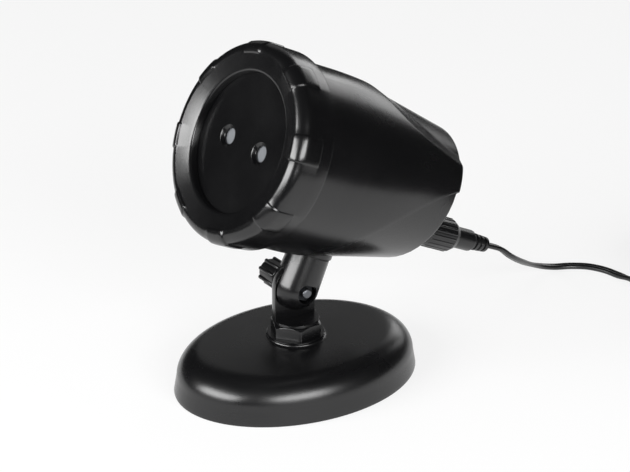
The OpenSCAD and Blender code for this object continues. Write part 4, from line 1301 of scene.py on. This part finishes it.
@dataclass
class Inlet:
    """Socket, coupling nut, plug and strain relief at the rear of the head.

    Attributes:
        head: the head's frame.
        drop: depth of the inlet below the head's axis.
        flange_t: place of the flange's front face.
        flange_r: radius of the flange.
        flange_w: thickness of the flange.
        barrel_r: radius of the threaded barrel.
        barrel_t: place of the barrel's end.
        front_l: reach of the inner part ahead of the flange.
        cup_r: radius of the hollow in the barrel.
        cup_l: depth of that hollow.
        nut_t: place of the coupling nut's front.
        nut_l: length of the coupling nut.
        nut_r: radius of the coupling nut between its ribs.
        nut_taper: length of the taper at its rear.
        nut_lip: thickness of its rear wall.
        rib_r: radius of those ribs.
        rib_count: how many there are.
        plug_r: radius of the plug.
        plug_t: place of the plug's rear end.
        nose_l: length of its nose inside the socket.
        relief_r: radius of the relief at the plug.
        relief_l: length of the relief.
        relief_lean: how much its radius shrinks over that length.
        grooves: number of grooves in the relief.
        groove_depth: their depth.
        thread_pitch: pitch of the barrel's thread.
        thread_depth: depth of that thread.
    """

    head: HeadFrame
    drop: float = 20.5
    flange_t: float = -48.36
    flange_r: float = 12.0
    flange_w: float = 3.0
    barrel_r: float = 7.8
    barrel_t: float = -87.5
    front_l: float = 12.4
    cup_r: float = 5.8
    cup_l: float = 26.0
    nut_t: float = -73.5
    nut_l: float = 25.0
    nut_r: float = 9.9
    nut_taper: float = 4.0
    nut_lip: float = 3.0
    rib_r: float = 0.8
    rib_count: int = 20
    plug_r: float = 6.4
    plug_t: float = -113.5
    nose_l: float = 20.0
    relief_r: float = 5.3
    relief_l: float = 13.0
    relief_lean: float = 0.8
    grooves: int = 3
    groove_depth: float = 1.3
    thread_pitch: float = 2.0
    thread_depth: float = 0.5

    @property
    def place(self) -> Place:
        """The inlet's own axis."""
        return self.head.below(self.drop)

    @property
    def nut_end(self) -> float:
        """Place of the coupling nut's rear end."""
        return self.nut_t - self.nut_l

    def socket(self) -> bpy.types.Object:
        """The flange and the barrel with its thread.

        Returns:
            The new piece.
        """
        segments, step, root = 48, 0.5, 0.2
        behind, front = self.flange_t - self.flange_w, self.flange_t + self.front_l
        cup_t = self.barrel_t + self.cup_l
        neck_r, thread_t = self.barrel_r + root, behind - root
        rows = [ring_row(self.place, r, t, segments) for r, t in (
            (self.flange_r - 0.3, self.flange_t), (self.flange_r, self.flange_t - 0.3),
            (self.flange_r, behind + 0.6), (self.flange_r - 0.6, behind), (neck_r, behind))]
        count = int((behind - self.barrel_t) / step)
        for t in spread(thread_t, self.barrel_t, count) + [self.barrel_t]:
            row = []
            for a in spread(0, 2 * math.pi, segments):
                wave = 0.5 + 0.5 * math.cos(2 * math.pi * t / self.thread_pitch - a)
                r = self.barrel_r - self.thread_depth * wave
                row.append(self.place(r * math.cos(a), r * math.sin(a), t))
            rows.append(row)
        rows += [ring_row(self.place, r, t, segments) for r, t in (
            (self.cup_r, self.barrel_t), (self.cup_r, cup_t), (0, cup_t), (0, front), (neck_r, front),
            (neck_r, self.flange_t))]
        return grid_piece("socket_form", rows, ring=True)

    def coupling(self) -> bpy.types.Object:
        """The coupling nut's body.

        Returns:
            The new piece.
        """
        end, wall = self.nut_end, self.nut_end + self.nut_lip
        hole_r, thread_r = self.plug_r + 0.15, self.barrel_r + 0.05
        outline = rounded([(hole_r, end, 0.2), (self.nut_r - 2, end, 0.6),
                           (self.nut_r, end + self.nut_taper, 0.8), (self.nut_r, self.nut_t, 0.6),
                           (thread_r, self.nut_t, 0.3), (thread_r, wall, 0), (hole_r, wall, 0)])
        return lathe("coupling_body", outline, self.place, 60)

    def coupling_ribs(self) -> bpy.types.Object:
        """The ribs round the coupling nut.

        Returns:
            The new piece.
        """
        end_gap = 2.0
        low, high = self.nut_end + self.nut_taper, self.nut_t - end_gap
        values = {"Count": self.rib_count, "Ring Radius": (self.nut_r - self.rib_r / 2) * MM,
                  "Rib Radius": self.rib_r * MM, "Half Length": ((high - low) / 2 - self.rib_r) * MM,
                  "Material": Finishes.PLUG.value.material()}
        return RibRing().piece("coupling_grip", values, self.head.matrix(self.drop, (low + high) / 2))

    def plug(self) -> bpy.types.Object:
        """The plug's body, with its collar and nose inside the socket.

        Returns:
            The new piece.
        """
        end_gap, side_gap = 0.3, 0.1
        collar, nose = self.nut_end + self.nut_lip + end_gap, self.barrel_t - end_gap
        collar_r, nose_r, tip = self.barrel_r - side_gap, self.cup_r - side_gap, nose + self.nose_l
        outline = rounded([(0, self.plug_t, 0), (self.plug_r, self.plug_t, 1.2), (self.plug_r, collar, 0),
                           (collar_r, collar, 0), (collar_r, nose, 0), (nose_r, nose, 0), (nose_r, tip, 0),
                           (0, tip, 0)])
        return lathe("plug_form", outline, self.place, 60)

    def relief(self) -> bpy.types.Object:
        """The strain relief, with its grooves.

        Returns:
            The new piece.
        """
        end, steps, groove, edge = self.plug_t - self.relief_l, 60, 0.8, 0.5
        pitch = self.relief_l / (self.grooves + 0.5)
        outline: Outline = [(0, end), (self.relief_r - self.relief_lean - 0.6, end)]
        for along in spread(edge, self.relief_l, steps) + [self.relief_l]:
            r = self.relief_r - self.relief_lean * (1 - along / self.relief_l)
            nearest = min(abs(along - (i + 0.9) * pitch) for i in range(self.grooves))
            if nearest < groove:
                r -= self.groove_depth * math.cos(math.pi / 2 * nearest / groove)
            outline.append((r, end + along))
        outline.append((0, self.plug_t))
        return lathe("relief_form", outline, self.place, 48)

    def build(self) -> None:
        """Makes and dresses the inlet."""
        settle(self.socket(), "head", Finishes.PLUG, "inlet_socket")
        settle(self.coupling(), "coupling", Finishes.PLUG, "coupling_nut")
        settle(self.coupling_ribs(), "coupling", Finishes.PLUG)
        settle(self.plug(), "head", Finishes.PLUG, "plug_body")
        settle(self.relief(), "head", Finishes.PLUG, "strain_relief")
        dress(Finishes.RUBBER, "inlet_seal")
        dress(Finishes.INNER, "inlet_nut")
        dress(Finishes.BRASS, "inlet_contacts")


@dataclass
class Lead:
    """The flat twin lead, its put-away coil with a tie, and the mains adapter.

    Attributes:
        head: the head's frame.
        width: width of the lead.
        thick: thickness of the lead.
        exit_v: height of its exit against the head's axis.
        exit_t: place of its exit along that axis.
        straight: length over which it leaves straight.
        middle: (x, y) of the coil.
        coil_r: radius of the coil's outer turns.
        turns: turns in a layer.
        layers: number of layers.
        pitch: distance between neighbouring turns.
        rise: distance between layers.
        tie_t: thickness of the tie.
        steps: points between two points of the route.
        coil_steps: points in one turn of the coil.
        floor_free: the points that it passes on its way to the coil.
        twist: the points of its route between which it turns on edge.
        tail_free: the points that it passes on its way to the adapter.
        tail_bend_r: radius of its bend into the adapter.
        blend_y: where the lead leaves the head's motion and where it rests on the ground's, along y;
            two points are worked out from them, and nothing uses those points.
        blend_z: height of those two points.
        path: the laid-out middle line.
        rolls: how far the lead is turned on edge at each of its points, in radians.
    """

    head: HeadFrame
    width: float = 5.6
    thick: float = 3.1
    exit_v: float = -20.5
    exit_t: float = -126.5
    straight: float = 12.5
    middle: tuple[float, float] = (45.0, 279.0)
    coil_r: float = 39.0
    turns: float = 3.25
    layers: int = 4
    pitch: float = 3.7
    rise: float = 6.2
    tie_t: float = 0.9
    steps: int = 6
    coil_steps: int = 36
    floor_free: tuple[Triple, ...] = (
        (-1.4, 156.3, 34.4), (-5.3, 165.1, 27.9), (-10.5, 173.7, 22), (-16.1, 182.3, 16.3),
        (-21.1, 191.3, 10.9), (-24.5, 201.1, 6), (-24.6, 211.9, 2.6), (-21.3, 222.3, 1.7),
        (-14.4, 230.7, 1.7), (-4.7, 236, 1.7), (6.3, 238.3, 1.7), (17.7, 239.4, 2.7))
    twist: tuple[int, int] = (12, 14)
    tail_free: tuple[Triple, ...] = ((62, 238.4, 22.3), (73, 235.3, 21))
    tail_bend_r: float = 26.0
    blend_y: tuple[float, float] = (136.0, 200.0)
    blend_z: float = 44.0
    path: list[Vector] = field(default_factory=list)
    rolls: list[float] = field(default_factory=list)

    def exit_point(self) -> Vector:
        """Where the lead leaves its relief."""
        return self.head.at(0, self.exit_v, self.exit_t)

    def smooth(self, route: Sequence[Vector]) -> list[Vector]:
        """A smooth line through a route's points.

        Args:
            route: the points.

        Returns:
            The line, without its last point.
        """
        line = []
        for i in range(len(route) - 1):
            p0, p1, p2 = route[max(i - 1, 0)], route[i], route[i + 1]
            p3 = route[min(i + 2, len(route) - 1)]
            for s in spread(0, 1, self.steps):
                line.append(0.5 * (2 * p1 + (p2 - p0) * s + (2 * p0 - 5 * p1 + 4 * p2 - p3) * s**2
                                   + (3 * p1 - p0 - 3 * p2 + p3) * s**3))
        return line

    def coil_point(self, turn: float) -> Vector:
        """A point of the coil, which winds in and out layer by layer.

        Args:
            turn: turns from the coil's start.

        Returns:
            The point.
        """
        layer = min(int(turn / self.turns), self.layers - 1)
        along = turn - layer * self.turns
        inward = along if layer % 2 == 0 else self.turns - along
        climb = sum(max(0.0, min(1.0, 2 * (turn - k * self.turns) + 0.5)) for k in range(1, self.layers))
        radius = self.coil_r - self.pitch * inward
        angle = -math.pi / 2 + 2 * math.pi * turn
        tie_gap = 0.2
        low = self.tie_t + tie_gap + self.width / 2
        return Vector((self.middle[0] + radius * math.cos(angle), self.middle[1] + radius * math.sin(angle),
                       low + self.rise * climb))

    def route(self) -> None:
        """Lays out the whole lead, and how far it is rolled on edge along the way."""
        exit_p = self.exit_point()
        ahead = (self.head.at(0, 0, -1) - self.head.at(0, 0, 0)) * self.straight
        first = self.coil_point(0.0)
        step, run_in = Vector((self.width, 0, 0)), Vector((10, 0, 0))
        lead = [exit_p, exit_p + ahead, *map(Vector, self.floor_free), first - step - run_in, first - step]
        start, stop = self.twist
        for k, point in enumerate(self.smooth(lead)):
            self.path.append(point)
            share = (k / self.steps - start) / (stop - start)
            self.rolls.append(max(0.0, min(1.0, share)) * math.pi / 2)
        self.path.append(first - step)
        self.rolls.append(math.pi / 2)
        count = int(self.turns * self.layers * self.coil_steps)
        coil = [self.coil_point(self.turns * self.layers * k / count) for k in range(count + 1)]
        low, high = box_of("adapter_relief")
        end = Vector(((low.x + high.x) / 2, low.y, (low.z + high.z) / 2))
        bend_r, sink = self.tail_bend_r, 5.0
        bend = [end + Vector((bend_r * (math.sin(a) - 1), -bend_r * math.cos(a),
                              sink * (1 - 2 * a / math.pi)))
                for a in spread(0, math.pi / 2, 3)]
        tail = self.smooth([coil[-1] + step, *map(Vector, self.tail_free), *bend, end]) + [end]
        self.path += coil + tail
        self.rolls += [math.pi / 2] * (len(coil) + len(tail))

    def section(self) -> Outline:
        """The lead's outline: two round cores side by side.

        Returns:
            (across, over) of each point.
        """
        core = self.thick / 2
        offset = self.width / 2 - core
        waist = math.acos(-offset / core)
        turns = spread(-waist, waist, 8) + [waist]
        right = [(offset + core * math.cos(a), core * math.sin(a)) for a in turns]
        return right + [(-x, -y) for x, y in right]

    def skin(self) -> bpy.types.Object:
        """The lead's skin along its whole route.

        Returns:
            The new piece.
        """
        rows = []
        outline = self.section()
        for i, point in enumerate(self.path):
            heading = (self.path[min(i + 1, len(self.path) - 1)] - self.path[max(i - 1, 0)]).normalized()
            flat = heading.cross(Vector((0, 0, 1))).normalized()
            over = flat.cross(heading)
            cos, sin = math.cos(self.rolls[i]), math.sin(self.rolls[i])
            across, through = flat * cos + over * sin, over * cos - flat * sin
            rows.append([point + across * a + through * b for a, b in outline])
        return grid_piece("lead_skin", rows, ring=False, capped=True, sharp=60)

    def tie(self) -> bpy.types.Object:
        """The strap round the coil's far side.

        Returns:
            The new piece.
        """
        low, high = box_of("coil_tie")
        radius, ease, rows = 2.6, 0.15, []
        for x, inset in ((low.x, ease), (low.x + 2 * ease, 0.0), (high.x - 2 * ease, 0.0), (high.x, ease),
                         (high.x, self.tie_t), (low.x, self.tie_t)):
            outline = rounded_box(low.yz, high.yz, inset, max(radius - inset, 0.6), 5)
            rows.append([Vector((x, y, z)) for y, z in outline])
        return grid_piece("tie_strap", rows, ring=True)

    def adapter(self) -> bpy.types.Object:
        """The adapter's case, with a parting groove.

        Returns:
            The new piece.
        """
        low, high = box_of("adapter_case")
        length, ease, groove, corner_r = high.y - low.y, 2.0, 0.5, 5.0
        stations = [(0.0, ease), (0.25, 1.15), (0.8, 0.45), (ease, 0.0)]
        seam = 0.7 * length
        along = stations + [(seam - 0.6, 0.0), (seam - 0.3, groove), (seam + 0.3, groove), (seam + 0.6, 0.0)]
        along += [(length - y, inset) for y, inset in reversed(stations)]
        rows = []
        for y, inset in along:
            outline = rounded_box(low.xz, high.xz, inset, corner_r, 6)
            rows.append([Vector((x, low.y + y, z)) for x, z in outline])
        return grid_piece("adapter_form", rows, ring=False, capped=True)

    def build(self) -> None:
        self.route()
        tie = settle(self.tie(), "base", Finishes.TIE, "coil_tie")
        adapter = settle(self.adapter(), "base", Finishes.ADAPTER, "adapter_case")
        dress(Finishes.PLUG, "adapter_relief")
        dress(Finishes.STEEL, "adapter_pins")
        skin = self.skin()
        skin.data.materials.append(Finishes.CORD.value.material())
        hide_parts("cord_lead", "cord_coil", "cord_tail")
        length = sum((b - a).length for a, b in zip(self.path, self.path[1:])) * MM
        bend_from, bend_to = (Vector((0, y, self.blend_z)) * MM for y in self.blend_y)
        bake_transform(skin)
        self.exit_point() * MM
        [p * MM for p in self.path]
        LOG.info("the lead is %.3f m long: %d faces", length, len(skin.data.polygons))


# The studio


def toward(azimuth: float, elevation: float) -> Vector:
    """Direction from the object at an azimuth and a height above level, in degrees."""
    az, el = math.radians(azimuth), math.radians(elevation)
    return Vector((math.sin(az) * math.cos(el), -math.cos(az) * math.cos(el), math.sin(el)))


def mirrored_ray(tree: bpy.types.NodeTree) -> bpy.types.NodeSocket:
    """Tells what a glossy or clear surface shows from what lights the object.

    Args:
        tree: the node tree that asks.

    Returns:
        A socket that is 1 for a ray off a glossy surface or through a clear one, and 0 for others.
    """
    rays = add_node(tree, "ShaderNodeLightPath").outputs
    return add_node(tree, "ShaderNodeMath", {
        0: rays["Is Glossy Ray"], 1: rays["Is Transmission Ray"]}, operation="MAXIMUM").outputs["Value"]


@dataclass
class Studio:
    """Camera, soft lights, pale floor and white surround.

    Attributes:
        lens: focal length, on a sensor 36 mm wide.
        azimuth: the camera's direction round the object, in degrees.
        elevation: its height above level, in degrees.
        distance: from the camera to its target.
        target_right: the target's place to the view's right of the origin.
        target_z: the target's height.
        floor_reach: how far the floor goes toward the camera, away from it, left and right, in metres.
        floor_white: share of plain white in the floor as it is seen; the rest takes the shadow.
        dim_glow: strength of the light that the surround gives.
        white_from: how steeply down a mirrored view has to go for a white surround, as the sine of
            the slope where the white starts and where it is full.
    """

    lens: float = 148.57
    azimuth: float = 55.5
    elevation: float = 24.8
    distance: float = 1462.8
    target_right: float = 11.0
    target_z: float = 88.6
    floor_reach: tuple[float, float, float, float] = (0.42, 0.75, 0.6, 0.40)
    floor_white: float = 0.8
    dim_glow: float = 0.03
    white_from: tuple[float, float] = (-0.36, -0.46)

    def camera(self) -> None:
        """Sets up the photograph's view."""
        right, back = toward(self.azimuth + 90, 0), toward(self.azimuth, self.elevation)
        data = bpy.data.cameras.new("photo_camera")
        data.lens, data.sensor_width, data.sensor_fit = self.lens, 36.0, "HORIZONTAL"
        data.clip_start, data.clip_end = 0.01, 20.0
        camera = placed("photo_camera", data)
        target = right * self.target_right + Vector((0, 0, self.target_z))
        camera.location = (target + back * self.distance) * MM
        camera.rotation_euler = back.to_track_quat("Z", "Y").to_euler()
        bpy.context.scene.camera = camera

    def softbox(self, name: str, azimuth: float, elevation: float, distance: float, size: tuple[float, float],
                glow: float, mirrored: bool = True) -> None:
        """Hangs one soft light that faces the object.

        Args:
            name: its name.
            azimuth: its direction round the object, as the camera's is given, in degrees.
            elevation: its height above level, in degrees.
            distance: from the object, in metres.
            size: its width and height, in metres.
            glow: its brightness, where the white floor's is about 1.
            mirrored: whether glossy surfaces show it.
        """
        back, aim = toward(azimuth, elevation), Vector((0, 0, 0.1))
        data = bpy.data.lights.new(name, "AREA")
        data.shape, data.size, data.size_y = "RECTANGLE", size[0], size[1]
        data.energy = glow * math.pi * size[0] * size[1]
        light = placed(name, data)
        light.location = back * distance + aim
        light.rotation_euler = back.to_track_quat("Z", "Y").to_euler()
        light.visible_camera, light.visible_glossy = False, mirrored
        LOG.info("%s hangs at azimuth %.0f and elevation %.0f", name, azimuth, elevation)

    def surround(self) -> None:
        """A white surround, as the camera and mirrored views down see it, that gives only a dim light."""
        world = bpy.data.worlds.new("studio")
        bpy.context.scene.world = world
        tree = blank_tree(world)
        rays = add_node(tree, "ShaderNodeLightPath").outputs
        heading = add_node(tree, "ShaderNodeTexCoord").outputs["Generated"]
        apart = add_node(tree, "ShaderNodeSeparateXYZ", {"Vector": heading})
        below = add_node(tree, "ShaderNodeMapRange", {
            "Value": apart.outputs["Z"], "From Min": self.white_from[0], "From Max": self.white_from[1],
            "To Min": 0.0, "To Max": 1.0})
        shown = add_node(tree, "ShaderNodeMath", {
            0: mirrored_ray(tree), 1: below.outputs["Result"]}, operation="MULTIPLY")
        plain = add_node(tree, "ShaderNodeMath", {
            0: rays["Is Camera Ray"], 1: shown.outputs["Value"]}, operation="MAXIMUM")
        glow = add_node(tree, "ShaderNodeBackground", {"Color": linear("#d6d8da"), "Strength": self.dim_glow})
        white = add_node(tree, "ShaderNodeBackground", {"Color": linear("#ffffff"), "Strength": 1.0})
        mixed = add_node(tree, "ShaderNodeMixShader", {
            "Fac": plain.outputs["Value"], 1: glow.outputs["Background"], 2: white.outputs["Background"]})
        add_node(tree, "ShaderNodeOutputWorld", {"Surface": mixed.outputs["Shader"]})

    def floor(self) -> None:
        """A pale floor that takes the object's soft shadow."""
        right, away = toward(self.azimuth + 90, 0), toward(self.azimuth + 180, 0)
        near, far, left_side, right_side = self.floor_reach
        corners = ((-left_side, -near), (right_side, -near), (right_side, far), (-left_side, far))
        mesh = bpy.data.meshes.new("floor")
        mesh.from_pydata([tuple(right * x + away * y) for x, y in corners], [], [(0, 1, 2, 3)])
        material = bpy.data.materials.new("matt_white_sweep")
        tree = blank_tree(material)
        matt = add_node(tree, "ShaderNodeBsdfPrincipled", {
            "Base Color": linear("#f4f4f4"), "Roughness": 0.9, "Specular IOR Level": 0.1})
        white = add_node(tree, "ShaderNodeEmission", {"Color": linear("#ffffff"), "Strength": 1.0})
        rays = add_node(tree, "ShaderNodeLightPath").outputs
        seen = add_node(tree, "ShaderNodeMath", {
            0: rays["Is Camera Ray"], 1: mirrored_ray(tree)}, operation="MAXIMUM")
        share = add_node(tree, "ShaderNodeMath", {
            0: seen.outputs["Value"], 1: self.floor_white}, operation="MULTIPLY")
        mixed = add_node(tree, "ShaderNodeMixShader", {
            "Fac": share.outputs["Value"], 1: matt.outputs["BSDF"], 2: white.outputs["Emission"]})
        add_node(tree, "ShaderNodeOutputMaterial", {"Surface": mixed.outputs["Shader"]})
        material.cycles.emission_sampling = "NONE"
        mesh.materials.append(material)
        floor = placed("floor", mesh)

    def build(self) -> None:
        """Sets up the studio."""
        self.camera()
        self.surround()
        self.floor()
        self.softbox("floor_box", 235, 76, 1.6, (2.0, 2.0), 0.25, mirrored=False)
        self.softbox("left_box", -2, 24, 1.6, (1.5, 0.62), 12.5)
        self.softbox("right_box", 84, 22, 1.6, (1.1, 0.6), 12.0)
        self.softbox("rim_box", 206, 16, 2.0, (0.9, 0.6), 2.6)
        self.softbox("back_panel", 235, 24, 2.2, (1.6, 1.2), 0.25)
        bpy.context.scene.view_settings.view_transform = "Standard"


def main() -> None:
    """Builds every sub-assembly and the studio."""
    logging.basicConfig(level=logging.INFO, format="%(name)s: %(message)s")
    head = HeadFrame()
    Base().build()
    TiltJoint(head).build()
    Housing(head).build()
    Front(head).build()
    Inlet(head).build()
    Lead(head).build()
    Studio().build()


if __name__ == "__main__":
    main()
